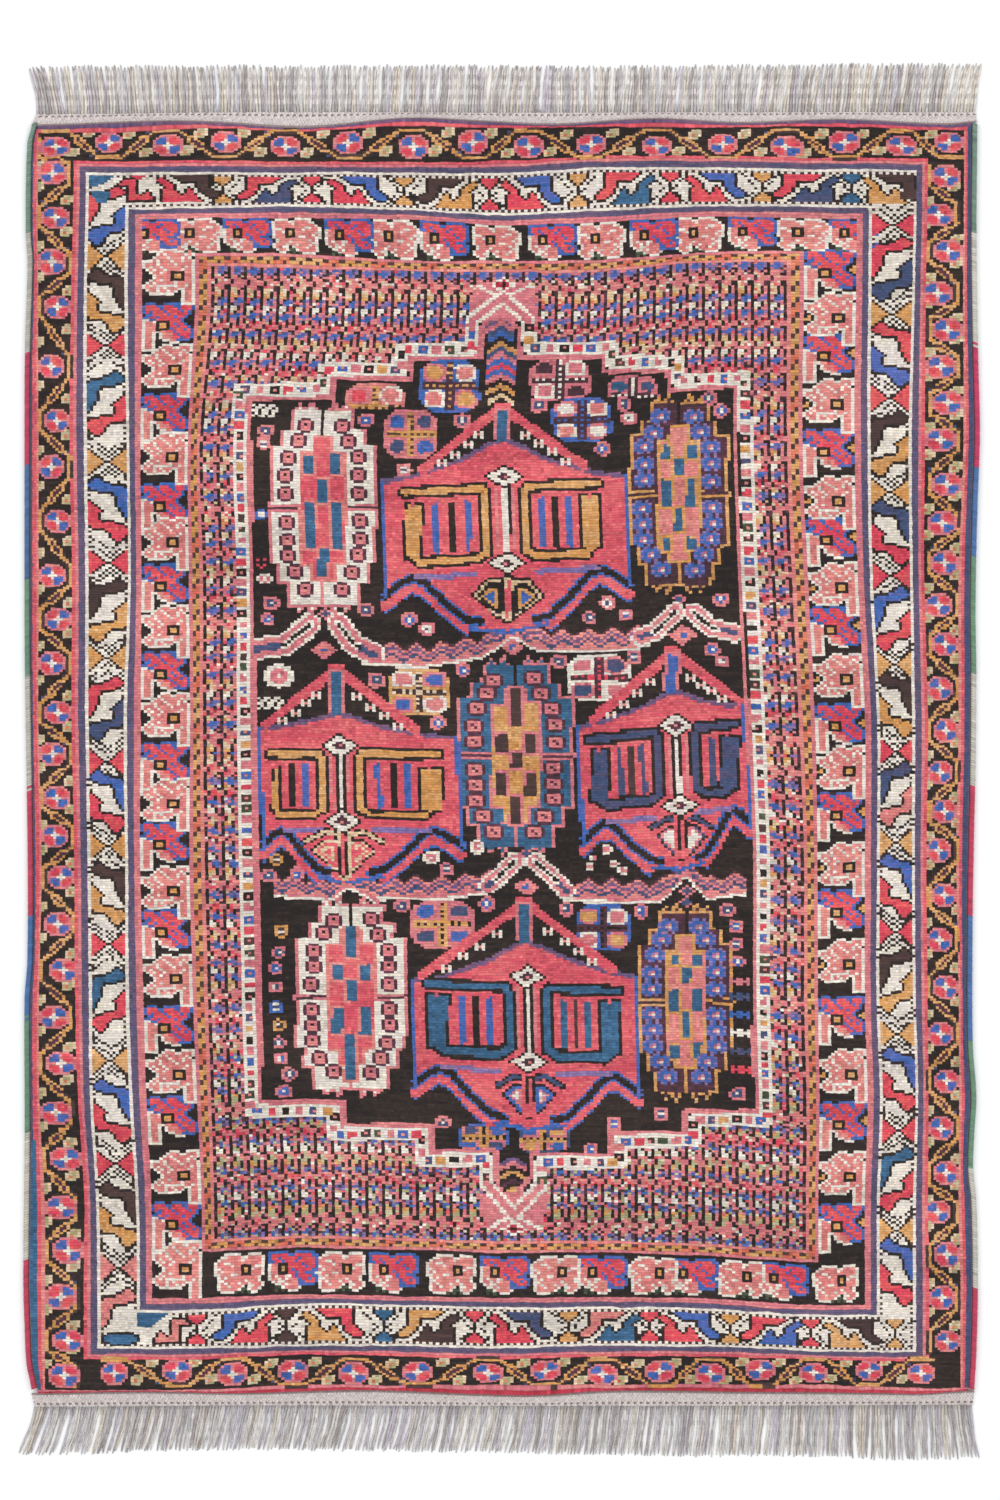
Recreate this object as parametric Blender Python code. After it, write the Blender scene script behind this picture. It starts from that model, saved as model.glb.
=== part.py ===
"""An Afshar pile rug lying flat: the woven body, a bound edge on each long side, and a fringe with its strip at each end."""

import math
import random

import bpy

# Lines read off the photograph are in photo pixels; this turns them into metres.
M_PER_PX = 0.00138
MIDDLE_X = 501.226
MIDDLE_Y = 761.875

# Sizes in metres.
BODY_THICK = 0.009
EDGE_ROUND = 0.002
GAP = 0.0003
BOUND_WIDE = 0.0085
BOUND_HIGH = 0.008
STRIP_THICK = 0.003
STRAND_TIP_THICK = 0.002
STRAND_COUNT = 148
STRAND_FILL = 0.80
STRAND_TIP_FILL = 0.62
STEP_ALONG_SIDE = 0.020
STEP_ALONG_END = 0.007

# Outer edge of the bound left side: (y, x).
LEFT_EDGE = (
    (122, 31.0),
    (143, 26.5),
    (232, 25.0),
    (262, 26.8),
    (350, 24.2),
    (460, 23.8),
    (650, 24.0),
    (760, 25.6),
    (870, 27.0),
    (960, 26.6),
    (1000, 23.8),
    (1130, 24.0),
    (1280, 22.6),
    (1330, 24.0),
    (1363, 25.7),
    (1394, 31.0),
)
# Outer edge of the bound right side: (y, x).
RIGHT_EDGE = (
    (120, 978.0),
    (232, 977.2),
    (342, 978.6),
    (434, 980.6),
    (506, 978.2),
    (604, 976.2),
    (673, 977.0),
    (770, 976.2),
    (842, 974.6),
    (915, 973.4),
    (1040, 973.4),
    (1097, 977.0),
    (1134, 974.9),
    (1170, 973.9),
    (1202, 977.1),
    (1291, 978.5),
    (1355, 977.0),
    (1394, 975.0),
)
# Where the pile ends at the top: (x, y).
TOP_EDGE = (
    (25, 125.5),
    (161, 121.0),
    (210, 122.0),
    (306, 127.5),
    (406, 118.0),
    (480, 121.0),
    (555, 124.6),
    (654, 118.5),
    (740, 123.0),
    (840, 119.5),
    (947, 124.5),
    (980, 121.5),
)
# Where the pile ends at the bottom: (x, y).
BOTTOM_EDGE = (
    (25, 1393.8),
    (143, 1392.0),
    (240, 1393.6),
    (340, 1390.8),
    (383, 1390.8),
    (480, 1395.0),
    (535, 1396.0),
    (596, 1392.0),
    (629, 1391.0),
    (740, 1392.4),
    (881, 1393.6),
    (922, 1394.2),
    (975, 1391.0),
)
# Where the strands leave the strip, at the top and at the bottom: (x, y).
TOP_ROOTS = ((36, 114.0), (250, 112.0), (500, 112.5), (750, 112.0), (976, 112.0))
BOTTOM_ROOTS = ((34, 1407.0), (240, 1405.6), (500, 1406.2), (740, 1406.0), (973, 1405.0))
# Strand tips: how far they lie past the roots and how far they lean, in pixels: (x, reach, lean).
TOP_TIPS = (
    (36, 49, -9),
    (80, 50, -5),
    (160, 49, -3),
    (300, 48, 0),
    (450, 49, 3),
    (600, 48, 2),
    (760, 49, 4),
    (880, 50, 5),
    (940, 50, 7),
    (976, 50, 9),
)
BOTTOM_TIPS = (
    (34, 49, -17),
    (80, 49, -13),
    (200, 46, -11),
    (400, 47, -10),
    (560, 49, -8),
    (700, 52, -5),
    (800, 52, -3),
    (900, 57, 1),
    (940, 56, 4),
    (973, 55, 10),
)
# Cross-section of a bound edge, from its middle: (share of half its width, share of its height).
BOUND_SECTION = (
    (-0.60, 0.0),
    (0.60, 0.0),
    (1.0, 0.30),
    (1.0, 0.66),
    (0.60, 1.0),
    (-0.60, 1.0),
    (-1.0, 0.66),
    (-1.0, 0.30),
)

COLOURS = {
    "pile_wool": (0.55, 0.07, 0.09, 1.0),
    "fringe_cotton": (0.62, 0.59, 0.55, 1.0),
    "bound_wool": (0.24, 0.05, 0.09, 1.0),
}


def clear_scene():
    for thing in list(bpy.data.objects):
        bpy.data.objects.remove(thing, do_unlink=True)


def through(table, at, column=1):
    """A smooth line through the table's points, read at one place."""
    if at <= table[0][0]:
        return table[0][column]
    if at >= table[-1][0]:
        return table[-1][column]
    k = max(i for i in range(len(table) - 1) if table[i][0] <= at)
    x0, x1 = table[k][0], table[k + 1][0]
    y0, y1 = table[k][column], table[k + 1][column]

    def slope(i):
        if i <= 0 or i >= len(table) - 1:
            return 0.0
        return (table[i + 1][column] - table[i - 1][column]) / (table[i + 1][0] - table[i - 1][0])

    t = (at - x0) / (x1 - x0)
    a, b = slope(k) * (x1 - x0), slope(k + 1) * (x1 - x0)
    return (
        (2 * t**3 - 3 * t**2 + 1) * y0
        + (t**3 - 2 * t**2 + t) * a
        + (3 * t**2 - 2 * t**3) * y1
        + (t**3 - t**2) * b
    )


def metres(x, y):
    """A place on the photograph as a place on the floor."""
    return ((x - MIDDLE_X) * M_PER_PX, (MIDDLE_Y - y) * M_PER_PX)


def px(length):
    return length / M_PER_PX


def spread(first, last, count):
    return [first + (last - first) * i / (count - 1) for i in range(count)]


def wool(name, roughness=0.95):
    material = bpy.data.materials.new(name)
    material.use_nodes = True
    shader = material.node_tree.nodes["Principled BSDF"]
    shader.inputs["Base Color"].default_value = COLOURS[name]
    shader.inputs["Roughness"].default_value = roughness
    return material


def solid(name, points, faces, material, smooth=False):
    mesh = bpy.data.meshes.new(name)
    mesh.from_pydata(points, [], faces)
    mesh.validate()
    mesh.update()
    for face in mesh.polygons:
        face.use_smooth = smooth
    mesh.materials.append(material)
    thing = bpy.data.objects.new(name, mesh)
    bpy.context.scene.collection.objects.link(thing)
    return thing


def body_sides():
    """How far in from each outer edge the pile starts: the bound edge and the gap beside it."""
    inset = px(BOUND_WIDE + GAP)
    return (
        lambda y: through(LEFT_EDGE, y) + inset,
        lambda y: through(RIGHT_EDGE, y) - inset,
    )


def body_outline():
    """The outline of the pile, anticlockwise from its bottom left corner, in metres."""
    left, right = body_sides()
    top_left = left(through(TOP_EDGE, 40))
    top_right = right(through(TOP_EDGE, 960))
    low_left = left(through(BOTTOM_EDGE, 40))
    low_right = right(through(BOTTOM_EDGE, 960))
    across = int(1.3 / STEP_ALONG_END)
    along = int(1.75 / STEP_ALONG_SIDE)
    line = [(x, through(BOTTOM_EDGE, x)) for x in spread(low_left, low_right, across)]
    for y in spread(through(BOTTOM_EDGE, low_right), through(TOP_EDGE, top_right), along)[1:-1]:
        line.append((right(y), y))
    line += [(x, through(TOP_EDGE, x)) for x in spread(top_right, top_left, across)]
    for y in spread(through(TOP_EDGE, top_left), through(BOTTOM_EDGE, low_left), along)[1:-1]:
        line.append((left(y), y))
    return [metres(x, y) for x, y in line]


def inward(outline, distance):
    """The same outline moved in by this distance."""
    moved = []
    for i, (x, y) in enumerate(outline):
        ax, ay = outline[i - 1]
        bx, by = outline[(i + 1) % len(outline)]
        first = math.hypot(x - ax, y - ay)
        second = math.hypot(bx - x, by - y)
        nx = -(y - ay) / first - (by - y) / second
        ny = (x - ax) / first + (bx - x) / second
        size = math.hypot(nx, ny)
        turn = max(0.5, size / 2)
        moved.append((x + nx / size * distance / turn, y + ny / size * distance / turn))
    return moved


def make_body(material):
    outline = body_outline()
    top = inward(outline, EDGE_ROUND)
    n = len(outline)
    points = [(x, y, 0.0) for x, y in outline]
    points += [(x, y, BODY_THICK - EDGE_ROUND) for x, y in outline]
    points += [(x, y, BODY_THICK) for x, y in top]
    faces = [tuple(reversed(range(n))), tuple(range(2 * n, 3 * n))]
    for ring in range(2):
        for i in range(n):
            j = (i + 1) % n
            faces.append((ring * n + i, ring * n + j, (ring + 1) * n + j, (ring + 1) * n + i))
    return solid("rug_body", points, faces, material)


def make_bound_edge(name, table, side, material):
    """The overcast cord along one long side; side is +1 on the right and -1 on the left."""
    half = px(BOUND_WIDE) / 2
    middle = through(table, 700) - side * half
    first = through(TOP_EDGE, middle) + px(GAP)
    last = through(BOTTOM_EDGE, middle) - px(GAP)
    stations = spread(first, last, int(1.75 / STEP_ALONG_SIDE))
    points, faces = [], []
    for y in stations:
        centre = through(table, y) - side * half
        for share, height in BOUND_SECTION:
            x_m, y_m = metres(centre + share * half, y)
            points.append((x_m, y_m, height * BOUND_HIGH))
    n = len(BOUND_SECTION)
    last_ring = (len(stations) - 1) * n
    faces.append(tuple(reversed(range(n))))
    faces.append(tuple(last_ring + i for i in range(n)))
    for ring in range(len(stations) - 1):
        for i in range(n):
            j = (i + 1) % n
            a, b = ring * n, (ring + 1) * n
            faces.append((a + i, a + j, b + j, b + i))
    return solid(name, points, faces, material, smooth=True)


def make_fringe(name, pile_edge, roots, tips, ends, outward, material, seed):
    """The flat woven strip past the pile and the strands that leave it, as one piece.

    ends are the x of the strip's two ends beside the pile. outward is +1 towards the bottom of the photo.
    """
    chance = random.Random(seed)
    first, last = roots[0][0], roots[-1][0]
    pitch = (last - first) / STRAND_COUNT
    points, faces = [], []

    def add(x, y, z):
        x_m, y_m = metres(x, y)
        points.append((x_m, y_m, z))
        return len(points) - 1

    def column(x):
        """The strip's four corners at one x: inner low, inner high, outer low, outer high."""
        share = (x - first) / (last - first)
        inner_x = ends[0] + share * (ends[1] - ends[0])
        inner_y = through(pile_edge, inner_x) + outward * px(GAP)
        outer_y = through(roots, x)
        return (
            add(inner_x, inner_y, 0.0),
            add(inner_x, inner_y, STRIP_THICK),
            add(x, outer_y, 0.0),
            add(x, outer_y, STRIP_THICK),
        )

    def strand(start, a, b):
        """One strand from the strip's side between columns a and b, lying flat and tapering."""
        middle = start + pitch / 2
        root_y = through(roots, middle)
        reach = through(tips, middle, 1) + chance.uniform(-1.6, 1.6)
        lean = through(tips, middle, 2) + chance.uniform(-0.35, 0.35)
        ring = (a[2], b[2], b[3], a[3])
        for share in (0.5, 1.0):
            wide = pitch * (STRAND_FILL + (STRAND_TIP_FILL - STRAND_FILL) * share) / 2
            thick = STRIP_THICK + (STRAND_TIP_THICK - STRIP_THICK) * share
            x = middle + lean * share ** 1.3
            y = root_y + outward * reach * share
            new = (
                add(x - wide, y, 0.0),
                add(x + wide, y, 0.0),
                add(x + wide, y, thick),
                add(x - wide, y, thick),
            )
            for i in range(4):
                j = (i + 1) % 4
                faces.append((ring[i], ring[j], new[j], new[i]))
            ring = new
        faces.append(ring)

    previous = column(first)
    begin = previous
    bare = pitch * (1 - STRAND_FILL) / 2
    for k in range(STRAND_COUNT):
        start = first + k * pitch
        a = column(start + bare)
        b = column(start + pitch - bare)
        for left, right, is_strand in ((previous, a, False), (a, b, True)):
            faces.append((left[0], left[2], right[2], right[0]))
            faces.append((left[1], right[1], right[3], left[3]))
            faces.append((left[0], right[0], right[1], left[1]))
            if not is_strand:
                faces.append((left[2], left[3], right[3], right[2]))
        strand(start, a, b)
        previous = b
    end = column(last)
    faces.append((previous[0], previous[2], end[2], end[0]))
    faces.append((previous[1], end[1], end[3], previous[3]))
    faces.append((previous[0], end[0], end[1], previous[1]))
    faces.append((previous[2], previous[3], end[3], end[2]))
    faces.append((begin[0], begin[1], begin[3], begin[2]))
    faces.append((end[0], end[2], end[3], end[1]))
    thing = solid(name, points, faces, material)
    face_out(thing)
    return thing


def face_out(thing):
    """Turns every face of a closed piece to point outwards."""
    import bmesh

    work = bmesh.new()
    work.from_mesh(thing.data)
    bmesh.ops.recalc_face_normals(work, faces=work.faces)
    work.to_mesh(thing.data)
    work.free()


def main():
    clear_scene()
    bpy.context.scene.unit_settings.scale_length = 1.0
    pile = wool("pile_wool")
    cotton = wool("fringe_cotton", 0.9)
    bound = wool("bound_wool")
    body = make_body(pile)
    left = make_bound_edge("bound_edge_left", LEFT_EDGE, -1, bound)
    right = make_bound_edge("bound_edge_right", RIGHT_EDGE, 1, bound)
    make_fringe("fringe_top", TOP_EDGE, TOP_ROOTS, TOP_TIPS, (31, 977), -1, cotton, 3)
    make_fringe("fringe_bottom", BOTTOM_EDGE, BOTTOM_ROOTS, BOTTOM_TIPS, (31, 975), 1, cotton, 5)
    for thing in (body, left, right):
        face_out(thing)
    corners = [thing.matrix_world @ v.co for thing in bpy.data.objects for v in thing.data.vertices]
    for axis, name in enumerate("xyz"):
        values = [c[axis] for c in corners]
        print(name, round(min(values) * 1000, 3), round(max(values) * 1000, 3))


main()
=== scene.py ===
"""The visual model of an Afshar pile rug lying flat: its knots, woven ends, bound sides and fringe."""

import itertools
import math
import random

import bpy
import numpy as np
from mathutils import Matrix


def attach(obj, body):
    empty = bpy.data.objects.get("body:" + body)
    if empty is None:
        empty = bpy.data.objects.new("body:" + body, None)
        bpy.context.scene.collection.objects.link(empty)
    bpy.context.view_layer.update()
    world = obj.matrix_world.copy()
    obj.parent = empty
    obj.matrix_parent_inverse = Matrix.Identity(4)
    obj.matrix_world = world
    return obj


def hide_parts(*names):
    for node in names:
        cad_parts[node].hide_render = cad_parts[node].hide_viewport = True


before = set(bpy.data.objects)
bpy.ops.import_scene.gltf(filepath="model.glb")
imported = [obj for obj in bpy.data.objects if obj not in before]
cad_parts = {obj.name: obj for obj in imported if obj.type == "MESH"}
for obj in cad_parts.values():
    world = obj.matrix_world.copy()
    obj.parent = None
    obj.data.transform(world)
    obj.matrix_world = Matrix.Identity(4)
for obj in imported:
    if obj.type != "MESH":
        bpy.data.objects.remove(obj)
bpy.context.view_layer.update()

# Lines read off the photograph are in photo pixels; this turns them into metres, as in the part's source.
M_PER_PX = 0.00138
MIDDLE_X = 501.226
MIDDLE_Y = 761.875

# The pile, counted in knots.
COLS = 288
ROWS = 492

# Where the pile starts and the usual size of a knot, in pixels, and the middle of the field.
PILE_LEFT = 31
PILE_TOP = 122
KNOT_WIDE = 3.26
KNOT_HIGH = 2.58
FIELD_MIDDLE = (503, 755)

# Sizes in metres.
BOUND_WIDE = 0.0085
BOUND_HIGH = 0.008
GAP = 0.0003

# Outer edge of the bound left side: (y, x).
LEFT_EDGE = (
    (122, 31), (143, 26.5), (232, 25), (262, 26.8), (350, 24.2), (460, 23.8), (650, 24), (760, 25.6),
    (870, 27), (960, 26.6), (1000, 23.8), (1130, 24), (1280, 22.6), (1330, 24), (1363, 25.7), (1394, 31),
)
# Outer edge of the bound right side: (y, x).
RIGHT_EDGE = (
    (120, 978), (232, 977.2), (342, 978.6), (434, 980.6), (506, 978.2), (604, 976.2), (673, 977),
    (770, 976.2), (842, 974.6), (915, 973.4), (1040, 973.4), (1097, 977), (1134, 974.9), (1170, 973.9),
    (1202, 977.1), (1291, 978.5), (1355, 977), (1394, 975),
)
# Where the pile ends at the top and at the bottom: (x, y).
TOP_EDGE = (
    (25, 125.5), (161, 121), (210, 122), (306, 127.5), (406, 118), (480, 121), (555, 124.6),
    (654, 118.5), (740, 123), (840, 119.5), (947, 124.5), (980, 121.5),
)
BOTTOM_EDGE = (
    (25, 1393.8), (143, 1392), (240, 1393.6), (340, 1390.8), (383, 1390.8), (480, 1395), (535, 1396),
    (596, 1392), (629, 1391), (740, 1392.4), (881, 1393.6), (922, 1394.2), (975, 1391),
)
# Where the strands leave the woven strip: (x, y).
TOP_ROOTS = ((36, 114), (250, 112), (500, 112.5), (750, 112), (976, 112))
BOTTOM_ROOTS = ((34, 1407), (240, 1405.6), (500, 1406.2), (740, 1406), (973, 1405))
# How far the tips lie past the roots and how far they lean, in pixels: (x, reach, lean).
TOP_TIPS = (
    (36, 49, -9), (80, 50, -5), (160, 49, -3), (300, 48, 0), (450, 49, 3), (600, 48, 2), (760, 49, 4),
    (880, 50, 5), (940, 50, 7), (976, 50, 9),
)
BOTTOM_TIPS = (
    (34, 49, -17), (80, 49, -13), (200, 46, -11), (400, 47, -10), (560, 49, -8), (700, 52, -5), (800, 52, -3),
    (900, 57, 1), (940, 56, 4), (973, 55, 10),
)

# Left side bands: at each y, the x where these columns of knots start.
LEFT_COLUMNS = (4, 15, 20, 32, 37, 52, 56)
LEFT_BANDS = (
    (170, 37.9, 73.6, 89, 125.5, 142, 194, 208),
    (300, 38, 71, 86.7, 124.3, 142, 195, 211),
    (440, 38.6, 69.5, 87, 126.5, 140.5, 188, 200),
    (580, 38.6, 72, 88.6, 127.9, 141.4, 188.8, 203),
    (720, 38.3, 71.4, 88.6, 123.6, 140.7, 190, 203),
    (860, 41.7, 74.3, 90.7, 125, 140, 189.5, 205),
    (1000, 38.9, 75, 92, 125.7, 143.6, 193, 208),
    (1100, 39.3, 77.9, 92.9, 129.3, 146.4, 197, 211),
    (1200, 44.6, 84.3, 98.9, 135.7, 151.4, 201.4, 214),
    (1300, 45, 83.6, 100.7, 137, 152, 202, 214),
)
# The same for the right side.
RIGHT_COLUMNS = (232, 236, 251, 256, 268, 273, 284)
RIGHT_BANDS = (
    (170, 787, 804, 857, 872, 914, 927.9, 964),
    (300, 787, 804, 856, 871.4, 912, 925.7, 963),
    (440, 787, 802.5, 854.5, 870.7, 908.6, 925, 963.6),
    (580, 792, 808, 858, 872.9, 910, 924.3, 958.6),
    (720, 799, 815, 865, 880, 912, 928, 958.6),
    (860, 804, 817.5, 865, 880, 912, 926.4, 956.4),
    (1000, 804, 818, 865, 879.5, 913, 927.6, 958.6),
    (1100, 806.4, 819.5, 867.5, 882.9, 915.7, 928.6, 959.3),
    (1200, 806, 818.5, 865, 880, 913, 928, 958.6),
    (1300, 806, 818.5, 865, 880, 913, 929.3, 960.7),
)
# Top bands: at each x, the y where these rows of knots start.
TOP_ROWS = (2, 15, 20, 34, 39, 53, 57)
TOP_BANDS = (
    (100, 133, 161, 175, 207, 219, 254, 267),
    (200, 128.6, 160.7, 175, 206.4, 218.6, 253, 266),
    (300, 131.4, 161.4, 174.6, 204.3, 218.6, 254, 268.5),
    (400, 126.4, 161.4, 175, 207, 219.3, 260, 271),
    (500, 127.9, 160.7, 175.7, 212.9, 225, 260.5, 272),
    (600, 127, 156.4, 170, 207.9, 222, 259.5, 272),
    (700, 127.9, 155.5, 170, 204.3, 217, 253, 263),
    (800, 126.4, 157, 171.4, 203.6, 217.9, 251.4, 263),
    (870, 127, 157.5, 172, 206, 219, 252, 263),
    (940, 130, 159, 173, 206, 219, 252, 263),
)
# The same for the bottom.
BOTTOM_ROWS = (434, 438, 454, 459, 473, 478, 490)
BOTTOM_BANDS = (
    (70, 1240, 1252, 1298, 1312.5, 1346.5, 1359.3, 1390),
    (200, 1240, 1252, 1298, 1312.5, 1346.5, 1359.3, 1389.3),
    (300, 1235.5, 1247.5, 1294.3, 1306, 1344.5, 1354.3, 1385),
    (400, 1238, 1250, 1296, 1306.9, 1344.3, 1356.4, 1385),
    (500, 1240.5, 1252.5, 1298, 1310, 1346, 1359, 1385),
    (600, 1240.5, 1252.5, 1297, 1309.3, 1343.6, 1357, 1384.3),
    (700, 1243.5, 1255.5, 1298.6, 1311, 1344, 1356, 1384),
    (800, 1250, 1262, 1304.5, 1317, 1348, 1359, 1385),
    (870, 1250, 1262, 1305, 1317, 1350, 1361.4, 1387),
    (940, 1250, 1262, 1305, 1317, 1350, 1361.4, 1388),
)

# Wool colours: letter, colour, and the colour that its streaks drift to.
WOOL = (
    ("k", (0.115, 0.080, 0.070), (0.19, 0.14, 0.12)),
    ("d", (0.31, 0.22, 0.20), (0.24, 0.17, 0.17)),
    ("r", (0.83, 0.25, 0.33), (0.84, 0.34, 0.34)),
    ("c", (0.69, 0.16, 0.23), (0.76, 0.23, 0.31)),
    ("f", (0.82, 0.31, 0.37), (0.85, 0.41, 0.42)),
    ("s", (0.83, 0.47, 0.46), (0.85, 0.54, 0.50)),
    ("p", (0.80, 0.44, 0.48), (0.82, 0.50, 0.49)),
    ("w", (0.89, 0.85, 0.79), (0.84, 0.80, 0.77)),
    ("g", (0.80, 0.56, 0.31), (0.81, 0.62, 0.42)),
    ("b", (0.22, 0.38, 0.66), (0.32, 0.38, 0.64)),
    ("n", (0.24, 0.30, 0.44), (0.31, 0.29, 0.41)),
    ("t", (0.19, 0.35, 0.48), (0.25, 0.41, 0.55)),
    ("u", (0.39, 0.31, 0.46), (0.48, 0.34, 0.46)),
    ("q", (0.33, 0.31, 0.43), (0.40, 0.32, 0.42)),
    ("v", (0.48, 0.41, 0.63), (0.56, 0.44, 0.58)),
    ("o", (0.66, 0.63, 0.46), (0.72, 0.68, 0.55)),
    ("h", (0.82, 0.40, 0.31), (0.83, 0.50, 0.37)),
    ("e", (0.22, 0.26, 0.18), (0.30, 0.33, 0.24)),
    ("a", (0.27, 0.16, 0.20), (0.35, 0.19, 0.25)),
    ("y", (0.82, 0.70, 0.54), (0.83, 0.74, 0.64)),
)
# Small motifs as charts: one letter is one knot, and a dot leaves what is there.
# L, R, C and G take the colours named where the motif is placed.
ROSETTE = """
..ppppp..
.prrpbbp.
prrrpbbbp
prrrwbbbp
pppwwwppp
pbbbwrrrp
pbbbprrrp
.pbbprrp.
..ppppp..
""".split()
SQUARE = """
.yoy
yooy
yhoy
yoo.
""".split()
LEAF = """
..kkkk......
.kCCCCk.....
kCCCCCk.....
kkkkCCk.....
...kCCk.....
...kCCk..k..
...kCCk.kCk.
...kCCCkCCk.
...kCCCCCCCk
...kCCCCCCCk
...kkkkkkkkk
""".split()
TOP_PAIR = """
...kLLLLLLLLLLk....
...kLLLLLLLLLk..kRk
...kLLLLLLLLk..kRRR
...kLLLkkkkk..kRRRk
...kLLLk.....kRRRk.
...kLLLk.k...kRRk..
..kLLLk.kRk..kRRRk.
.kLLLLk.RRk.kRRRRk.
kLLLLk.kRRRkRRRRRk.
kLLLk..RRRRRRRRRRk.
.kkk..kRRRRRRRRRRk.
.....kRRRRRRRRRRRk.
""".split()
TOP_BOW = """
kCCCCCk
kCCCCCk
.kCCCk.
..kCk..
...k...
...k...
...k...
...k...
..kCk..
.kCCCk.
kCCCCCk
kCCCCCk
""".split()
SIDE_PAIR = """
..kk........
.kLLk.......
kLLLLkk.....
LLLLLLLkkkk.
kLLLLLLLLLLk
.kkLLLLLLLLL
...kkkkkLLLL
.......kLLLL
........kLLL
k.......kLLL
Rk......kLLL
RRk.....kLLL
RRRk.....kLL
RRRRk....kLL
RRRk......kL
RRRk......kL
RRRk.......k
RRRRkkkk....
RRRRRRRRkkk.
kRRRRRRRRRRk
.kkkkRRRRRRR
.....kRRRRRR
......kRRRRR
......kRRRRk
.......kRRk.
........kk..
""".split()
SIDE_BOW = """
Ck........kC
CCk......kCC
CCCk....kCCC
CCCCk..kCCCC
CCCCCkkCCCCC
CCCCk..kCCCC
CCCk....kCCC
CCk......kCC
Ck........kC
""".split()
TOP_PALE = """
.wwww..wwwww...
wsssswwssssww..
wssssswssssssw.
wssssssssswwssw
wwwskkksswssssw
wsswkgkssssssww
wssskgkssssswsw
wssskkkswwsssww
.wssssssssswsw.
.wssswssssssww.
wssswsswssswsw.
wssww.wssswssw.
.wssweewsssssw.
..wwekekewwww..
""".split()
TOP_BRIGHT = """
bbbbbb..bbbbbb.
brrrrrbbrrrrrbb
brrbrrrrrbrrrrb
bbrrbrrrbrrrrrb
wsskkkrrrrbrrrb
wsskgkrrrrrbrrb
wsskgkrbrrrrrbb
wsskkkrrbrrbbb.
wswsswwrbrrrrbb
wsswswsssbrrbrb
.wswwssssbbrrrb
..wwswsssbbbbb.
..eewssssw.....
..ekekwww......
""".split()
SIDE_PALE = """
......www..wwww
.....wssswwsssw
....wswssssswsw
...wssswssswsw.
wwwswssswsswssw
wssswsssswssssw
wswsswsssssswsw
.wswsswsssswssw
..wsswsskkkkssw
.G.wsssskggkssw
GG.wsssskggkssw
..wsswsskkkkssw
.wswssssswssssw
wswswwwwwwsswsw
wssswswssswwssw
.wsswsswsw.wssw
..wwwwwww..wssw
...........wssw
...........wssw
...........wssw
...........wwww
""".split()
SIDE_BRIGHT = """
.bbb..bbbbbbbbb
brrrbbrrrbbrrrb
brrrrbrrrrbrrrb
brbrrrbrrrrbrb.
.bbrrrrbrrrrrb.
bbrrbrrrrbrrb..
wwbbrrrrrrrb..G
wsswkkkkrrrb.GG
wssskggkrbrrb.G
wssskggkrrbrrb.
wssskkkkbrrrbrb
wsswwssrrbrrrrb
wssw.wsssrbrrrb
wssw.wsssrrbrrb
wssw..wwssbbbb.
wssw....www....
wssw...........
wssw...........
wwww...........
""".split()
H_MARK = ("C.CC.C", "CCCCCC", "C.CC.C")

# Outer border rosettes: along each side, where their middles lie in pixels.
TOP_ROSETTES = (55, 110, 167, 225, 285, 349, 412, 474, 528, 590, 657, 722, 786, 845, 901, 950)
BOTTOM_ROSETTES = (114, 177, 234, 293, 354, 419, 488, 545, 603, 661, 710, 762, 815, 868, 922)
LEFT_ROSETTES = (
    (54, 148), (53, 173), (57, 217), (53, 263), (58, 306), (51, 367), (57, 421), (51, 467), (57, 521),
    (52, 575), (58, 619), (52, 664), (57, 713), (53, 754), (57, 798), (54, 837), (61, 878), (57, 923),
    (63, 971), (53, 1016), (62, 1064), (54, 1112), (66, 1159), (61, 1209), (69, 1251), (62, 1297),
    (69, 1341), (66, 1376),
)
RIGHT_ROSETTES = (
    (947, 176), (940, 214), (947, 252), (939, 293), (946, 329), (940, 366), (947, 404), (941, 441),
    (948, 484), (941, 524), (945, 562), (939, 604), (945, 645), (939, 688), (946, 730), (939, 771),
    (946, 812), (939, 850), (945, 896), (939, 939), (945, 986), (940, 1033), (947, 1080), (941, 1129),
    (946, 1174), (939, 1213), (947, 1255), (942, 1299), (947, 1342),
)

# Main border: where each bow-tie lies, and its wool and the two wools of the pair after it.
LEFT_MAIN = (
    (257, "gdg"), (346, "rtr"), (462, "gbr"), (562, "rdg"),
    (659, "grn"), (760, "rbr"), (847, "gdg"), (945, "rtr"),
    (1060, "gbr"), (1163, "rdg"), (1267, "ss."),
)
# The left pairs that lie the other way round.
LEFT_TURNED = (1, 3, 4, 7, 10)
RIGHT_MAIN = (
    (225, "rrn"), (313, "grb"), (399, "rdg"), (493, "gnr"),
    (577, "rbr"), (665, "gdg"), (750, "rns"), (842, "gbr"),
    (932, "rdg"), (1033, "gbr"), (1131, "rtr"), (1231, "gbr"),
)
TOP_MAIN = (
    (224, "grn"), (311, "rrb"), (404, "gdg"),
    (489, "rrb"), (577, "grt"), (669, "rrb"), (761, "grn"),
    (852, "tgd"),
)
BOTTOM_MAIN = (
    (198, "rbr"), (287, "dgr"), (383, "tgd"), (475, "rrn"),
    (569, "gst"), (651, "rrb"), (732, "grb"), (812, "rgd"),
    (895, "g.."),
)

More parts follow.
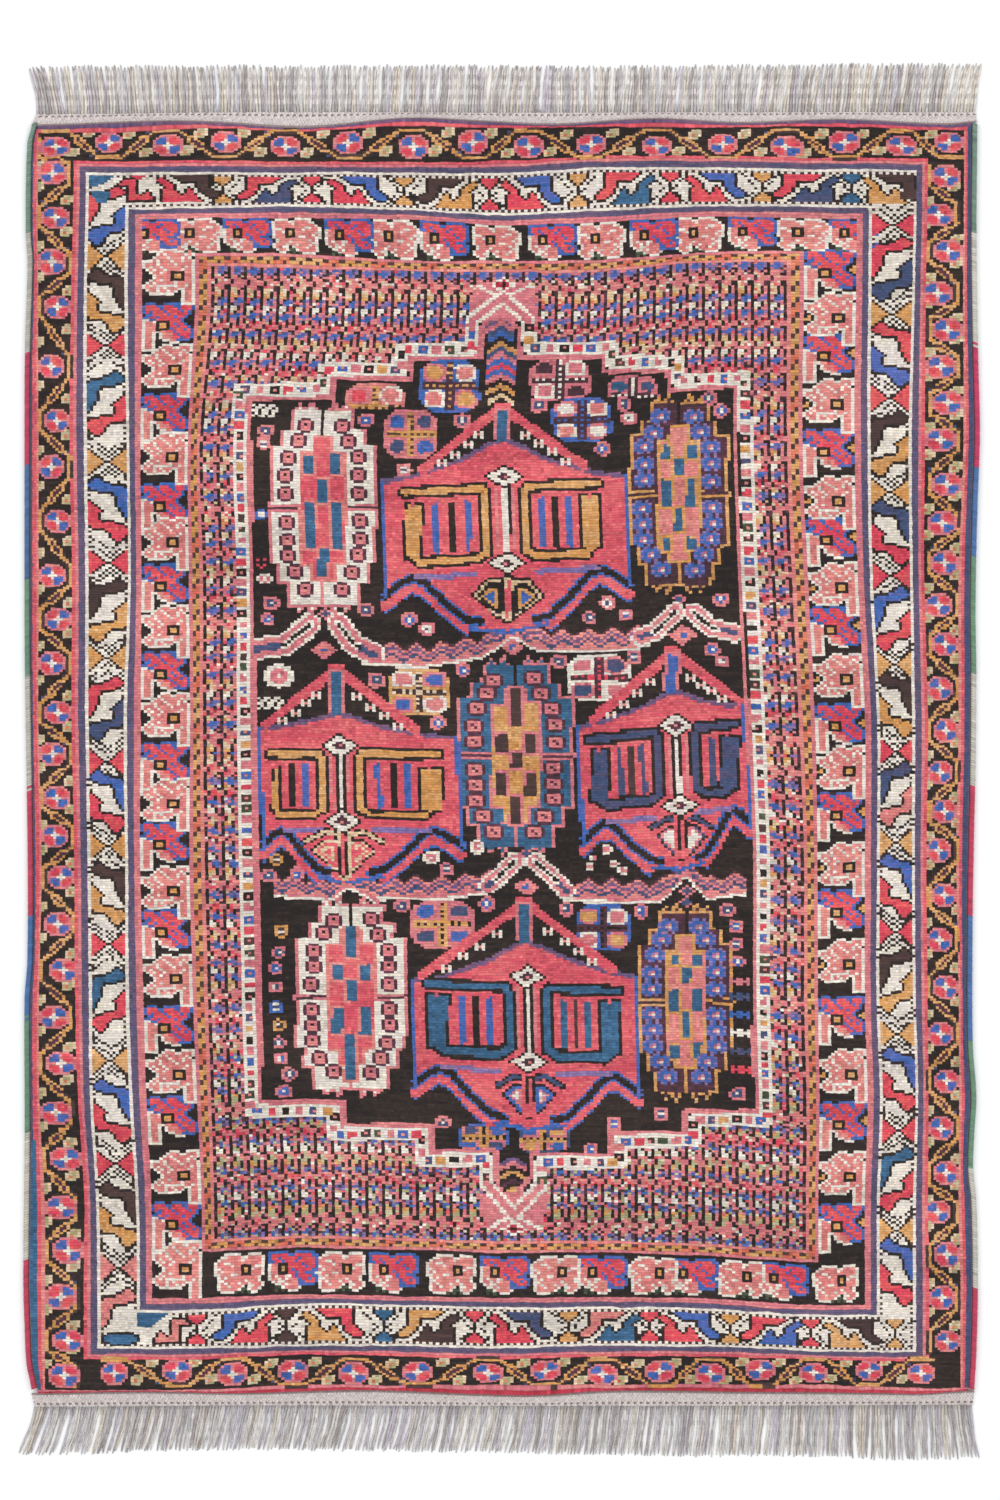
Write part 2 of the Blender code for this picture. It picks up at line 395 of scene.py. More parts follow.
# Inner border: where the flowers' eyes lie, the pale and the bright flower in turn.
LEFT_EYES = (278, 327, 372, 417, 458, 508, 543, 588, 632, 676, 720, 765, 806, 846, 892, 934, 981, 1030,
             1075, 1121, 1177, 1225, 1271)
RIGHT_EYES = (276, 320, 359, 406, 453, 503, 542, 588, 630, 680, 727, 773, 817, 868, 915, 966, 1020, 1075,
              1127, 1179, 1227)
TOP_EYES = (148, 190, 239, 289, 340, 388, 438, 490, 543, 594, 646, 692, 744, 796, 846)
BOTTOM_EYES = (244, 296, 344, 398, 454, 508, 558, 608, 656, 699, 743, 789, 838)

# The spandrels' repeat: 5 knots wide, and the whole height of the top one.
SPANDREL = """
kpbbv kbbbv kpbvk kspkp kspsk pkssp pkpss kpspk kyspk kyyks kgykp
kggkp kpkbv kpbbb kkvbp kwwkp kwwkp kwkpp kpbbv kbbbp kpvkp kspkr
pksrp pkrps kppsk kpbbv kbbbp kpvkp kggkp kgykp pkyyp pkyss kpssk
kwwkp kwwkp kwkpp kpbbv kbbbp kpvkp kprkr pkrrp pkrps kyspk kgykp
""".split()
# Wools that a knot there may stray to.
STRAY = {"k": "aadp", "p": "ysswr", "s": "yypwr", "b": "vvnp", "r": "csa", "g": "hy", "w": "wy"}

# The middle of the cream stripe round the field: (x, y), clockwise from the left.
STRIPE = (
    (239, 389), (323.5, 389), (323.5, 369.5), (401.5, 369.5), (401.5, 349), (471.5, 349), (471.5, 322),
    (503.5, 297), (529, 321), (529, 347.6), (612.6, 347.6), (612.6, 362), (678, 362), (678, 381),
    (744, 377), (747, 500), (751, 600), (756, 690), (762, 800), (764, 900), (764, 1050), (767, 1120),
    (694, 1120), (694, 1141), (620, 1141), (620, 1163), (541, 1163), (541, 1185), (513.9, 1216),
    (486.5, 1184), (486.5, 1160), (422, 1160), (422, 1134), (334, 1134), (334, 1111), (251, 1111),
    (249, 980), (247, 880), (245, 760), (243, 630), (240, 450),
)
STRIPE_COLOURS = "npkrbpedrbpkg"

# Big flowers: x, y, half width, half height, and the wools of the rim, the petals on one diagonal and
# on the other, the cross and its dots.
BIG_FLOWERS = (
    (411, 434, 27, 24, "pbngd"),
    (450, 386, 30, 26, "bgsag"),
    (560, 380, 30, 22, "papaw"),
    (582, 420, 30, 21, "bwsab"),
    (419, 692, 31, 24, "gpbdy"),
    (599, 678, 31, 24, "wpnar"),
    (484, 1138, 26, 13, "bnbgk"),
    (544, 1140, 26, 13, "nbggk"),
    (443, 924, 33, 24, "pbngk"),
    (603, 928, 28, 23, "bgpak"),
)
# Those that only show above their middle.
HALF_FLOWERS = (
    (375, 407, 31, 23, "srsgd"),
    (633, 396, 26, 20, "ptnaw"),
)
# Marks like a double H: x, y, wool.
H_MARKS = (
    (742, 981, "p"), (742, 997, "n"), (742, 1014, "b"), (742, 1033, "w"), (742, 1052, "n"), (742, 1071, "r"),
)
# Small flowers by the wools of their rim and heart: x, y, radius.
SMALL_FLOWERS = {
    "pn": ((266, 430, 8), (462, 421, 8), (539, 405, 9), (624, 404, 8), (710, 398, 8), (271, 603, 8),
        (366, 610, 8), (590, 618, 7), (376, 680, 9), (559, 661, 8), (634, 657, 8), (269, 876, 8),
        (447, 869, 7), (566, 909, 8), (402, 906, 8), (727, 910, 8), (736, 944, 7), (279, 952, 7),
        (275, 987, 7), (279, 1043, 7), (289, 1074, 8), (443, 1123, 8), (661, 1114, 8), (738, 1094, 8)),
    "pw": ((263, 443, 7), (404, 470, 8), (629, 418, 8), (608, 603, 8), (427, 629, 8), (722, 661, 7)),
    "pb": ((366, 420, 8), (603, 449, 8), (721, 411, 8), (268, 619, 7), (409, 620, 8), (721, 599, 8),
        (626, 615, 7), (463, 670, 8), (438, 723, 8), (712, 650, 8), (297, 874, 8), (487, 904, 8),
        (641, 911, 8), (736, 926, 8), (738, 962, 7), (276, 968, 7), (280, 1059, 7), (284, 1091, 8),
        (614, 1123, 8), (591, 1149, 7)),
    "bw": ((261, 515, 6), (276, 1007, 7)),
    "rk": ((261, 562, 6),),
    "wp": ((265, 579, 7), (279, 676, 14), (477, 847, 8), (432, 857, 8), (607, 850, 5), (594, 858, 4),
        (590, 867, 4), (614, 864, 5), (623, 871, 5)),
    "gd": ((276, 860, 7), (281, 931, 7), (279, 1025, 7)),
}


def smooth_line(table, column=1):
    """A smooth line through a table's points, as two arrays for np.interp."""
    along = np.array([row[0] for row in table], float)
    value = np.array([row[column] for row in table], float)
    slope = np.zeros(len(along))
    slope[1:-1] = (value[2:] - value[:-2]) / (along[2:] - along[:-2])
    fine = np.linspace(along[0], along[-1], 400)
    k = np.clip(np.searchsorted(along, fine, side="right") - 1, 0, len(along) - 2)
    step = along[k + 1] - along[k]
    t = (fine - along[k]) / step
    a, b = slope[k] * step, slope[k + 1] * step
    line = (2 * t**3 - 3 * t**2 + 1) * value[k] + (t**3 - 2 * t**2 + t) * a
    line = line + (3 * t**2 - 2 * t**3) * value[k + 1] + (t**3 - t**2) * b
    return fine, line


def band_lines(table):
    """One smooth line for each column of a table of bands."""
    return [smooth_line(table, column) for column in range(1, len(table[0]))]


def read(line, at):
    return np.interp(at, *line)


def between(places, lines, at, where):
    """Reads, at each point, the line that lies at its place between the given lines."""
    k = np.clip(np.searchsorted(places, where, side="right") - 1, 0, len(places) - 2)
    low, high = np.array(places, float)[k], np.array(places, float)[k + 1]
    values = np.stack([read(line, at) for line in lines]).reshape(len(places), -1)
    points = np.arange(where.size)
    near, far = values[k.ravel(), points], values[k.ravel() + 1, points]
    share = ((where - low) / (high - low)).ravel()
    return (near + (far - near) * share).reshape(where.shape)


def knot_places(rows, cols):
    """Where these places in the weave, counted in knots, lie on the photograph in pixels."""
    inset = (BOUND_WIDE + GAP) / M_PER_PX
    lines_x = [smooth_line([(y, x + inset) for y, x in LEFT_EDGE])] + band_lines(LEFT_BANDS)
    lines_x += band_lines(RIGHT_BANDS) + [smooth_line([(y, x - inset) for y, x in RIGHT_EDGE])]
    lines_y = [smooth_line(TOP_EDGE)] + band_lines(TOP_BANDS)
    lines_y += band_lines(BOTTOM_BANDS) + [smooth_line(BOTTOM_EDGE)]
    columns = (0,) + LEFT_COLUMNS + RIGHT_COLUMNS + (COLS,)
    places = (0,) + TOP_ROWS + BOTTOM_ROWS + (ROWS,)
    x = PILE_LEFT + cols * KNOT_WIDE
    y = PILE_TOP + rows * KNOT_HIGH
    for _ in range(4):
        y = between(places, lines_y, x, rows)
        x = between(columns, lines_x, y, cols)
    return x, y


def part_way(a, b, share):
    """The place at this share of the way from a to b."""
    return a[0] + (b[0] - a[0]) * share, a[1] + (b[1] - a[1]) * share


def toward(point, middle, step_x, step_y):
    """The point moved towards the middle by one step along each axis."""
    x, y = point
    return x + math.copysign(step_x, middle[0] - x), y + math.copysign(step_y, middle[1] - y)


class Weave:
    """The rug's chart: one letter for each knot, drawn by shapes given in photo pixels."""

    def __init__(self):
        rows, cols = np.mgrid[0:ROWS, 0:COLS] + 0.5
        self.x, self.y = knot_places(rows, cols)
        self.knots = np.full((ROWS, COLS), "k")

    def window(self, x0, y0, x1, y1):
        """A part of the chart that surely holds this part of the photograph, and where its knots lie.

        Knots are 3.0 to 3.4 pixels wide and 2.55 to 2.6 high, and a few more on each side are spare.
        """
        rows = slice(max(0, int((y0 - 121) / 2.6) - 10), max(0, int((y1 - 121) / 2.55) + 10))
        cols = slice(max(0, int((x0 - 30) / 3.4) - 8), max(0, int((x1 - 30) / 3.0) + 10))
        return (rows, cols), self.x[rows, cols], self.y[rows, cols]

    def put(self, part, mask, wool, only=None):
        """Gives the masked knots of a part this wool, only over these wools if any are named."""
        target = self.knots[part]
        if only:
            mask = mask & np.isin(target, list(only))
        target[mask] = wool

    def poly(self, points, wool, only=None):
        """A shape with straight sides."""
        xs, ys = zip(*points)
        part, px, py = self.window(min(xs), min(ys), max(xs), max(ys))
        mask = np.zeros(px.shape, bool)
        for (xa, ya), (xb, yb) in zip(points, points[1:] + points[:1]):
            if ya != yb:
                crosses = (ya > py) != (yb > py)
                mask ^= crosses & (px < xa + (py - ya) * (xb - xa) / (yb - ya))
        self.put(part, mask, wool, only)

    def rect(self, x0, y0, x1, y1, wool, only=None):
        part, px, py = self.window(x0, y0, x1, y1)
        self.put(part, (px >= x0) & (px < x1) & (py >= y0) & (py < y1), wool, only)

    def block(self, x, y, wide, high, wool, only=None):
        """A rectangle with its middle here and these half sizes."""
        self.rect(x - wide, y - high, x + wide, y + high, wool, only)

    def oval(self, x, y, wide, high, wool, power=2.0):
        part, px, py = self.window(x - wide, y - high, x + wide, y + high)
        self.put(part, np.abs((px - x) / wide) ** power + np.abs((py - y) / high) ** power < 1, wool)

    def diamond(self, x, y, wide, high, wools, shares=(1.0, 0.66, 0.32)):
        """Diamonds one in another, each with its share of these half sizes."""
        for wool, share in zip(wools, shares):
            across, up = wide * share, high * share
            self.poly([(x - across, y), (x, y - up), (x + across, y), (x, y + up)], wool)

    def line(self, points, thick, wool):
        """A bent line of this thickness."""
        for (xa, ya), (xb, yb) in zip(points, points[1:]):
            low = (min(xa, xb) - thick, min(ya, yb) - thick)
            part, px, py = self.window(*low, max(xa, xb) + thick, max(ya, yb) + thick)
            px, py, dx, dy = px - xa, py - ya, xb - xa, yb - ya
            share = np.clip((px * dx + py * dy) / (dx * dx + dy * dy + 1e-9), 0, 1)
            self.put(part, np.hypot(px - share * dx, py - share * dy) < thick / 2, wool)

    def knot_at(self, x, y):
        """The knot nearest to a place on the photograph, as row and column."""
        (rows, cols), px, py = self.window(x - 4, y - 4, x + 4, y + 4)
        r, c = np.unravel_index(np.argmin(np.hypot(px - x, py - y)), px.shape)
        return rows.start + r, cols.start + c

    def stamp(self, chart, row, col, colours=None, flip=False, only=None):
        """A charted motif with its middle at this knot, only over these wools if any are named."""
        top, left = row - len(chart) // 2, col - len(chart[0]) // 2
        for r, line in enumerate(chart, top):
            for c, letter in enumerate(line[::-1] if flip else line, left):
                inside = 0 <= r < ROWS and 0 <= c < COLS
                if letter != "." and inside and (only is None or self.knots[r, c] in only):
                    self.knots[r, c] = (colours or {}).get(letter, letter)

    def stamp_at(self, x, y, chart, colours=None, flip=False, only=None):
        """The same, with its middle at this place on the photograph."""
        self.stamp(chart, *self.knot_at(x, y), colours, flip, only)


def draw_bands(weave):
    """The nested bands from the edge to the field, counted in knots, with guard marks round the field."""
    knots = weave.knots
    for left, top, right, bottom, wool in (
        (0, 0, 288, 492, "n"), (1, 1, 286, 491, "f"), (3, 2, 285, 490, "s"), (4, 2, 284, 490, "k"),
        (15, 15, 273, 478, "f"), (16, 16, 272, 477, "p"), (17, 17, 271, 476, "q"), (19, 19, 269, 474, "w"),
        (32, 34, 256, 459, "w"), (33, 35, 255, 458, "q"), (35, 37, 253, 456, "p"), (37, 39, 251, 454, "k"),
        (52, 53, 236, 438, "p"), (53, 54, 235, 437, "g"), (55, 56, 233, 435, "s"), (56, 57, 232, 434, "p"),
        (0, 395, 2, 490, "t"), (0, 0, 288, 1, "u"), (0, 490, 288, 491, "p"), (0, 491, 288, 492, "c"),
    ):
        knots[top:bottom, left:right] = wool

    def guard_marks(chart, first, last, outer, inner, period, lengths):
        """Dark marks along two staggered lines of a chart; the ground of every third is orange."""
        for i in range(first, last):
            for shift, places in enumerate((outer, inner)):
                for place in places:
                    if (i + 2 * shift) % period < lengths[shift]:
                        chart[place, i] = "d"
                    elif (i // period) % 3 == 0:
                        chart[place, i] = "h"

    guard_marks(knots, 53, 235, (54, 435), (55, 436), 5, (2, 1))
    guard_marks(knots.T, 55, 437, (53, 233), (54, 234), 6, (2, 2))


def draw_outer_border(weave):
    """Rosettes with a gold vine that winds past them, and a small square on each side of it."""
    shift_line = smooth_line(LEFT_BANDS, 1)
    for spots, near, far in ((LEFT_ROSETTES, 40.5, 69.5), (RIGHT_ROSETTES, 929.5, 957.0)):
        vine, squares = [], []
        for i, (x, y) in enumerate(spots):
            shift = read(shift_line, y) - 38.4 if x < 500 else 0.0
            side, other = [place + shift for place in ((near, far) if i % 2 == 0 else (far, near))]
            vine += [(side, y - 10), (side, y + 10)]
            if i + 1 < len(spots):
                half = (y + spots[i + 1][1]) / 2
                squares += [(other, half - 7), (side, half + 7)]
        for place in squares:
            weave.stamp_at(*place, SQUARE, only="k")
        draw_vine(weave, vine, 5.2, 3.4)
        for i, (x, y) in enumerate(spots):
            weave.stamp_at(x, y, ROSETTE, flip=x > 500 or i % 3 != 1)
    for spots, near, far, level in (
        (TOP_ROSETTES, 130.5, 157.0, 144.5), (BOTTOM_ROSETTES, 1359.5, 1385.0, 1372.5),
    ):
        sides = [near if i % 2 == 0 else far for i in range(len(spots))]
        draw_vine(weave, [(x + way * 12, side) for x, side in zip(spots, sides) for way in (-1, 1)], 4.6, 3.0)
        for i, x in enumerate(spots):
            up = i % 2 == 0
            weave.stamp_at(x, level + (1.5 if up else -1.5), ROSETTE, flip=up)
            if i + 1 < len(spots):
                half = (x + spots[i + 1]) / 2
                for step, high in ((8, near + 4 if up else far - 4), (-8, far - 4 if up else near + 4)):
                    weave.stamp_at(half + step, high, SQUARE, only="k")


def draw_vine(weave, vine, edge, thick):
    """A gold vine edged with dark wool; where it crosses over it has a narrow bud and a slate leaf."""
    weave.line(vine, edge, "d")
    weave.line(vine, thick, "g")
    for start, end in zip(vine[1::2], vine[2::2]):
        bud = [part_way(start, end, 0.34), part_way(start, end, 0.66)]
        weave.line(bud, 8.0, "g")
        weave.line(bud, 3.2, "a")
        weave.block(*part_way(start, end, 0.86), 3.4, 2.6, "n", "k")


def dotted(weave, points):
    """A bent line of separate dark knots on the cream ground."""
    for start, end in zip(points, points[1:]):
        count = max(2, round(math.dist(start, end) / 5.2))
        for i in range(count):
            weave.block(*part_way(start, end, i / count), 1.7, 1.3, "k", "w")


def draw_main_border(weave):
    """Bow-ties in turn with pairs of hooked leaf figures."""
    row, _ = weave.knot_at(106, 216)
    weave.stamp(SIDE_PAIR, row, 26, {"L": "r", "R": "b"}, flip=True)
    # The last pair on the left shows only its upper leaf.
    single = [line if r < 9 else "........" + line[8:] for r, line in enumerate(SIDE_PAIR[:15])]
    for table, column, line, turned in (
        (LEFT_MAIN, 26, smooth_line(LEFT_BANDS, 4), LEFT_TURNED),
        (RIGHT_MAIN, 262, smooth_line(RIGHT_BANDS, 5), range(0, 12, 2)),
    ):
        for i, (y, (bow, one, two)) in enumerate(table):
            at = read(line, y)
            row, _ = weave.knot_at(at, y)
            middle = float(weave.x[row, column])
            after = table[i + 1][0] if i + 1 < len(table) else y + 88
            half, _ = weave.knot_at(at, (y + after) / 2)
            if two == ".":
                weave.stamp(single, row + 14, column, {"L": one}, flip=i in turned)
            else:
                weave.stamp(SIDE_PAIR, half, column, {"L": one, "R": two}, flip=i in turned)
            weave.stamp(SIDE_BOW, row, column, {"C": bow})
            for way in (-1, 1):
                for gap in (5, 11):
                    knee = y + way * gap
                    end = knee + way * 14
                    dotted(weave, [(middle - 19, end), (middle, knee), (middle + 19, end)])
    for table, level, line in (
        (TOP_MAIN, 27, smooth_line(TOP_BANDS, 4)), (BOTTOM_MAIN, 466, smooth_line(BOTTOM_BANDS, 4)),
    ):
        for i, (x, (bow, one, two)) in enumerate(table):
            at = read(line, x)
            _, col = weave.knot_at(x, at)
            y = float(weave.y[level, col])
            if one != ".":
                after = table[i + 1][0] if i + 1 < len(table) else x + 84
                _, half = weave.knot_at((x + after) / 2, at)
                wools = {"L": two, "R": one} if i % 2 else {"L": one, "R": two}
                weave.stamp(TOP_PAIR, level, half, wools, flip=i % 2 == 1, only="wkdrgbtns")
            weave.stamp(TOP_BOW, level, col, {"C": bow})
            for way in (-1, 1):
                knee = x + way * 5
                end = knee + way * 13
                dotted(weave, [(end, y - 15), (knee, y), (end, y + 15)])
    draw_main_corners(weave)
    weave_main_edges(weave.knots, 20, 473, (20, 31, 256, 267), (20, 267), range(35, 459))
    weave_main_edges(weave.knots.T, 20, 268, (20, 33, 459, 472), (20, 472), range(33, 256))


def weave_main_edges(chart, first, last, lines, outer, inside):
    """Every second knot of the main border's edge lines is dark."""
    for i in range(first, last):
        for line in lines:
            if i % 2 and chart[i, line] == "w" and (line in outer or i in inside):
                chart[i, line] = "d"


def draw_main_corners(weave):
    """Where the main border turns, single leaves and plain blocks fill what the repeat leaves."""
    weave.stamp_at(188, 190, TOP_PAIR, {"L": "d", "R": "r"}, flip=True)
    weave.stamp_at(137, 190, LEAF, {"C": "r"})
    weave.stamp_at(175, 1331, LEAF, {"C": "s"}, flip=True)
    for wool, points in (
        ("t", [(90, 175), (116, 175), (106, 182), (96, 187), (90, 187)]),
        ("t", [(90, 191), (111, 191), (107, 203), (97, 203)]),
        ("r", [(128, 174), (150, 174), (139, 181)]),
        ("t", [(138, 1313), (170, 1313), (158, 1322), (148, 1328), (138, 1328)]),
        ("d", [(905, 176), (914, 176), (914, 200), (900, 200)]),
    ):
        middle = [sum(values) / len(points) for values in zip(*points)]
        weave.poly([toward(point, middle, -3.0, -2.6) for point in points], "k", "w")
        weave.poly(points, wool)
    weave.oval(120, 1339, 21, 7.5, "k")
    weave.oval(120, 1339, 18, 5.0, "t")


def draw_inner_border(weave):
    """Pale and bright flowers in turn, each with a square eye."""
    for i, x in enumerate(TOP_EYES):
        _, col = weave.knot_at(x + 8, 236)
        weave.stamp(TOP_PALE if i % 2 else TOP_BRIGHT, 46, col, only="k")
    for i, x in enumerate(BOTTOM_EYES):
        _, col = weave.knot_at(x - 4, 1275)
        weave.stamp(TOP_BRIGHT if i % 2 else TOP_PALE, 446, col, flip=i % 2 == 0, only="k")
    for eyes, x, middle, first, tip in ((LEFT_EYES, 165, 44, 0, "k"), (RIGHT_EYES, 838, 243, 1, "g")):
        for chart, start in ((SIDE_PALE, first), (SIDE_BRIGHT, 1 - first)):
            for y in eyes[start::2]:
                row, _ = weave.knot_at(x, y)
                weave.stamp(chart, row, middle, {"G": tip}, only="k")


def draw_spandrels(weave):
    """Columns of small spots on pink, over the whole field; the field's own ground goes over them."""
    chance = random.Random(5)
    high = len(SPANDREL)
    for c in range(56, 232):
        for r in range(57, 434):
            line = SPANDREL[(r - 57) % high if r < 245 else (433 - r) % high]
            wool = line[(c - 56) % 5]
            if r > 360 and wool in "bv" and (c + r) % 3 == 0:
                wool = "o" if r % 2 else "d"
            odd = chance.choice(STRAY[wool]) if wool in STRAY and chance.random() < 0.30 else wool
            weave.knots[r, c] = "o" if odd == "y" and r > 360 else odd


def draw_stripe(weave):
    """The cream stripe with coloured squares round the black field, edged with pink."""
    path = list(STRIPE) + [STRIPE[0]]
    for step, thick in ((9.5, 5.0), (-9.0, 3.6)):
        weave.line([toward(p, FIELD_MIDDLE, step, step * 0.9) for p in path], thick, "p")
    for x, y, way in ((503.5, 299, -1), (513.9, 1215, 1)):
        base, top = y + way * 16, y - way * 22
        weave.poly([(x - 38, top), (x - 26, base), (x + 26, base), (x + 38, top)], "p")
        for side in (-1, 1):
            weave.line([(x, y), (x + side * 27, y + way * 14)], 3.6, "w")
        weave.diamond(x, y + way * 14, 13, 8, "wck")
    weave.line(path, 13.6, "w")
    wools = itertools.cycle(STRIPE_COLOURS)
    for start, end in zip(path, path[1:]):
        across, up = abs(end[0] - start[0]), abs(end[1] - start[1])
        if across > 12 and up > 12:
            weave.line([start, end], 6.5, "p")
            continue
        count = max(1, round(math.dist(start, end) / (10.7 if up > across else 13.2)))
        for i in range(count):
            x, y = part_way(start, end, (i + 0.5) / count)
            wool = next(wools)
            weave.block(x, y, 4.4, 3.6, wool)
            if wool in "nbked":
                weave.block(x, y, 1.5, 1.2, "s")


def octagon(x, y, wide, high):
    """The points of a block with these half sizes and cut corners."""
    a, b = wide * 0.58, high * 0.58
    return [(x - a, y - high), (x + a, y - high), (x + wide, y - b), (x + wide, y + b),
            (x + a, y + high), (x - a, y + high), (x - wide, y + b), (x - wide, y - b)]


def big_flower(weave, x, y, wide, high, wools):
    """Four petals between the arms of a dotted cross."""
    rim, one, two, cross, dots = wools
    weave.poly(octagon(x, y, wide, high), rim)
    for side in (-1, 1):
        for level in (-1, 1):
            wool = one if side == level else two
            middle = (x + side * wide * 0.52, y + level * high * 0.52)
            weave.poly(octagon(*middle, wide * 0.36, high * 0.34), "w" if wool in "ps" else "p")
            weave.poly(octagon(*middle, wide * 0.26, high * 0.24), wool)
    weave.block(x, y, wide * 0.9, 3.2, cross)
    weave.block(x, y, 4.0, high * 0.9, cross)
    for i in range(-3, 4):
        for shift_x, shift_y in ((i * wide * 0.26, 0), (0, i * high * 0.26)):
            at_x, at_y = x + shift_x, y + shift_y
            weave.rect(at_x - 2, at_y - 1.6, at_x + 2, at_y + 1.4, dots)


def small_flower(weave, x, y, radius, rim, heart):
    """A round flower, with an eye if it is big enough."""
    weave.oval(x, y, radius, radius * 0.85, rim, power=2.6)
    weave.oval(x, y, radius * 0.62, radius * 0.52, heart)
    if radius > 6:
        weave.oval(x, y, 2.2, 1.8, "w" if heart != "w" else "n")


# Medallions: middle, half width and half height in pixels, kind, and the small bars of the core, from
# the top down: how many side by side, and from where to where in half heights.
MEDALLIONS = (
    (323, 508, 53, 98, "cream",
     ((2, -0.54, -0.34), (1, -0.30, -0.06), (2, -0.06, 0.42), (1, 0.42, 0.70))),
    (679, 494, 49, 91, "gold",
     ((2, -0.53, -0.38), (1, -0.39, -0.21), (2, -0.16, 0.14), (1, 0.16, 0.42), (2, 0.48, 0.62))),
    (516, 756, 57, 91, "blue",
     ((1, -0.74, -0.33), (2, -0.24, -0.03), (1, -0.04, 0.14), (2, 0.19, 0.43), (1, 0.43, 0.75))),
    (351, 997, 55, 92, "cream",
     ((1, -0.76, -0.43), (2, -0.36, -0.19), (1, -0.19, 0.03), (2, 0.11, 0.40), (1, 0.41, 0.90))),
    (686, 1002, 46, 90, "gold",
     ((2, -0.53, -0.40), (1, -0.38, -0.22), (2, -0.14, 0.10), (1, 0.10, 0.40), (2, 0.47, 0.62))),
)
# Their wools, which are rim, ground, edge of the core, core and bar, and their beads.
MEDALLION_LOOKS = {
    "cream": ("pwsft", (".aaa.", "apppa", "apkpa", "apspa", "apppa", ".aaa.")),
    "gold": ("gagst", (".vb.v.", "vbbbbv", "bbvpbb", "vbpwbv", "bbbvbb", ".vb.v.")),
    "blue": ("ptpgd", (".aaaa.", "appppa", "apapsa", "apsapa", "appppa", ".aaaa.")),
}
# Half the outline's and the core's width at each height: from, to, half width, in half sizes.
OUTLINE_STEPS = (
    (-1.0, -0.78, 0.59), (-0.80, -0.62, 0.78), (-0.64, 0.56, 1.0), (0.54, 0.76, 0.86), (0.74, 1.0, 0.68),
)
CORE_STEPS = ((-0.72, -0.50, 0.16), (-0.56, 0.56, 0.40), (0.54, 0.72, 0.20))
# Where the beads of one side lie, in half sizes.
BEAD_PLACES = (
    (0.34, -0.83), (0.47, -0.67), (0.68, -0.50), (0.70, -0.32), (0.70, -0.13),
    (0.70, 0.16), (0.70, 0.33), (0.68, 0.50), (0.54, 0.67), (0.34, 0.84),
)

# Houses: the middle's x and how far it leans from top to bottom, the y of the eaves' peak, the height
# under it and the roof over it, all in pixels. Pairs are left and right: how far the walls stand from the
# middle, how far the eaves drop, where the roof's feet and the boxes' outer ends stand, how wide the
# boxes' blocks are and the wools of the stripes. The floor lines rise by the slope to the right. The
# levels are the boxes' lintel, their blocks' tops and their sill, as shares of the height, and the sill's
# thickness. The fan has its half width, its hood's wool, and its leaves' and stem's from rim to heart.
HOUSES = (
    {"x": 503, "lean": 6, "peak": 440, "high": 187, "roof": 33, "walls": (123, 121), "drop": (0.19, 0.22),
     "feet": (0.66, 0.66), "slope": -0.05, "stem": "t", "box": "g", "stripes": ("bkb", "bkb"),
     "ends": (0.815, 0.77), "blocks": (16, 16), "levels": (0.255, 0.325, 0.63, 7.0),
     "fan": (38, "", "kykgb", "kyf")},
    {"x": 338, "lean": 7, "peak": 714, "high": 163, "roof": 45, "walls": (80, 118), "drop": (0.09, 0.15),
     "feet": (0.90, 0.66), "slope": 0.0, "stem": "t", "box": "g", "stripes": ("bk", "bkb"),
     "ends": (0.86, 0.835), "blocks": (7, 17), "levels": (0.245, 0.34, 0.62, 4.0),
     "fan": (34, "y", "kyfyf", "ykf")},
    {"x": 674, "lean": 9, "peak": 692, "high": 173, "roof": 40, "walls": (98, 69), "drop": (0.14, 0.12),
     "feet": (0.84, 0.95), "slope": -0.11, "stem": "b", "box": "n", "stripes": ("ndn", "n"),
     "ends": (0.885, 0.85), "blocks": (17, 14), "levels": (0.222, 0.295, 0.61, 7.0),
     "fan": (26, "n", "knpww", "fkf")},
    {"x": 526, "lean": 4, "peak": 941, "high": 183, "roof": 39, "walls": (115, 110), "drop": (0.24, 0.17),
     "feet": (0.92, 0.78), "slope": 0.04, "stem": "t", "box": "t", "stripes": ("bkb", "tdt"),
     "ends": (0.87, 0.83), "blocks": (20, 18), "levels": (0.255, 0.318, 0.62, 8.0),
     "fan": (28, "n", "kbbpw", "fkf")},
)
# The eaves' curve from the peak outwards, and the wave under the floor from the wall inwards.
EAVES = ((0.0, 0.0), (0.12, 0.12), (0.35, 0.5), (0.75, 0.9), (1.0, 1.0))
WAVE = ((1.0, 0.81), (0.87, 0.745), (0.77, 0.715), (0.67, 0.745), (0.52, 0.85), (0.34, 0.95), (0.22, 0.97))
LOFT_STAR = ("w.w", "wsw", "w.w")
SCRIBBLE = ("w.ww.ww.", ".ww.ww.w", "ww.ww.ww", ".w.ww.w.", "w.ww.ww.")

# Ribbons: the cream lower line of each piece.
RIBBONS = (
    ((362, 664), (425, 667), (481, 658), (497, 648), (512, 636), (530, 647), (542, 652), (620, 651),
     (649, 646)),
    ((272, 896), (331, 900), (349, 888), (370, 899), (451, 898), (493, 892)),
    ((556, 893), (567, 901), (661, 902), (686, 876), (707, 899), (745, 894)),
)
# Their rolled ends: the middle line, from which to which 20th part of it the slit runs, and the thickness.
CURLS = (
    (((250, 650), (284, 645), (310, 624)), (11, 20), 23), (((338, 624), (354, 644), (374, 655)), (0, 12), 23),
    (((641, 637), (655, 632), (675, 612)), (8, 20), 19), (((693, 612), (712, 628), (736, 633)), (0, 11), 19),
    (((488, 886), (500, 876), (515, 861)), (6, 20), 18), (((535, 861), (552, 876), (566, 891)), (0, 14), 18),
)
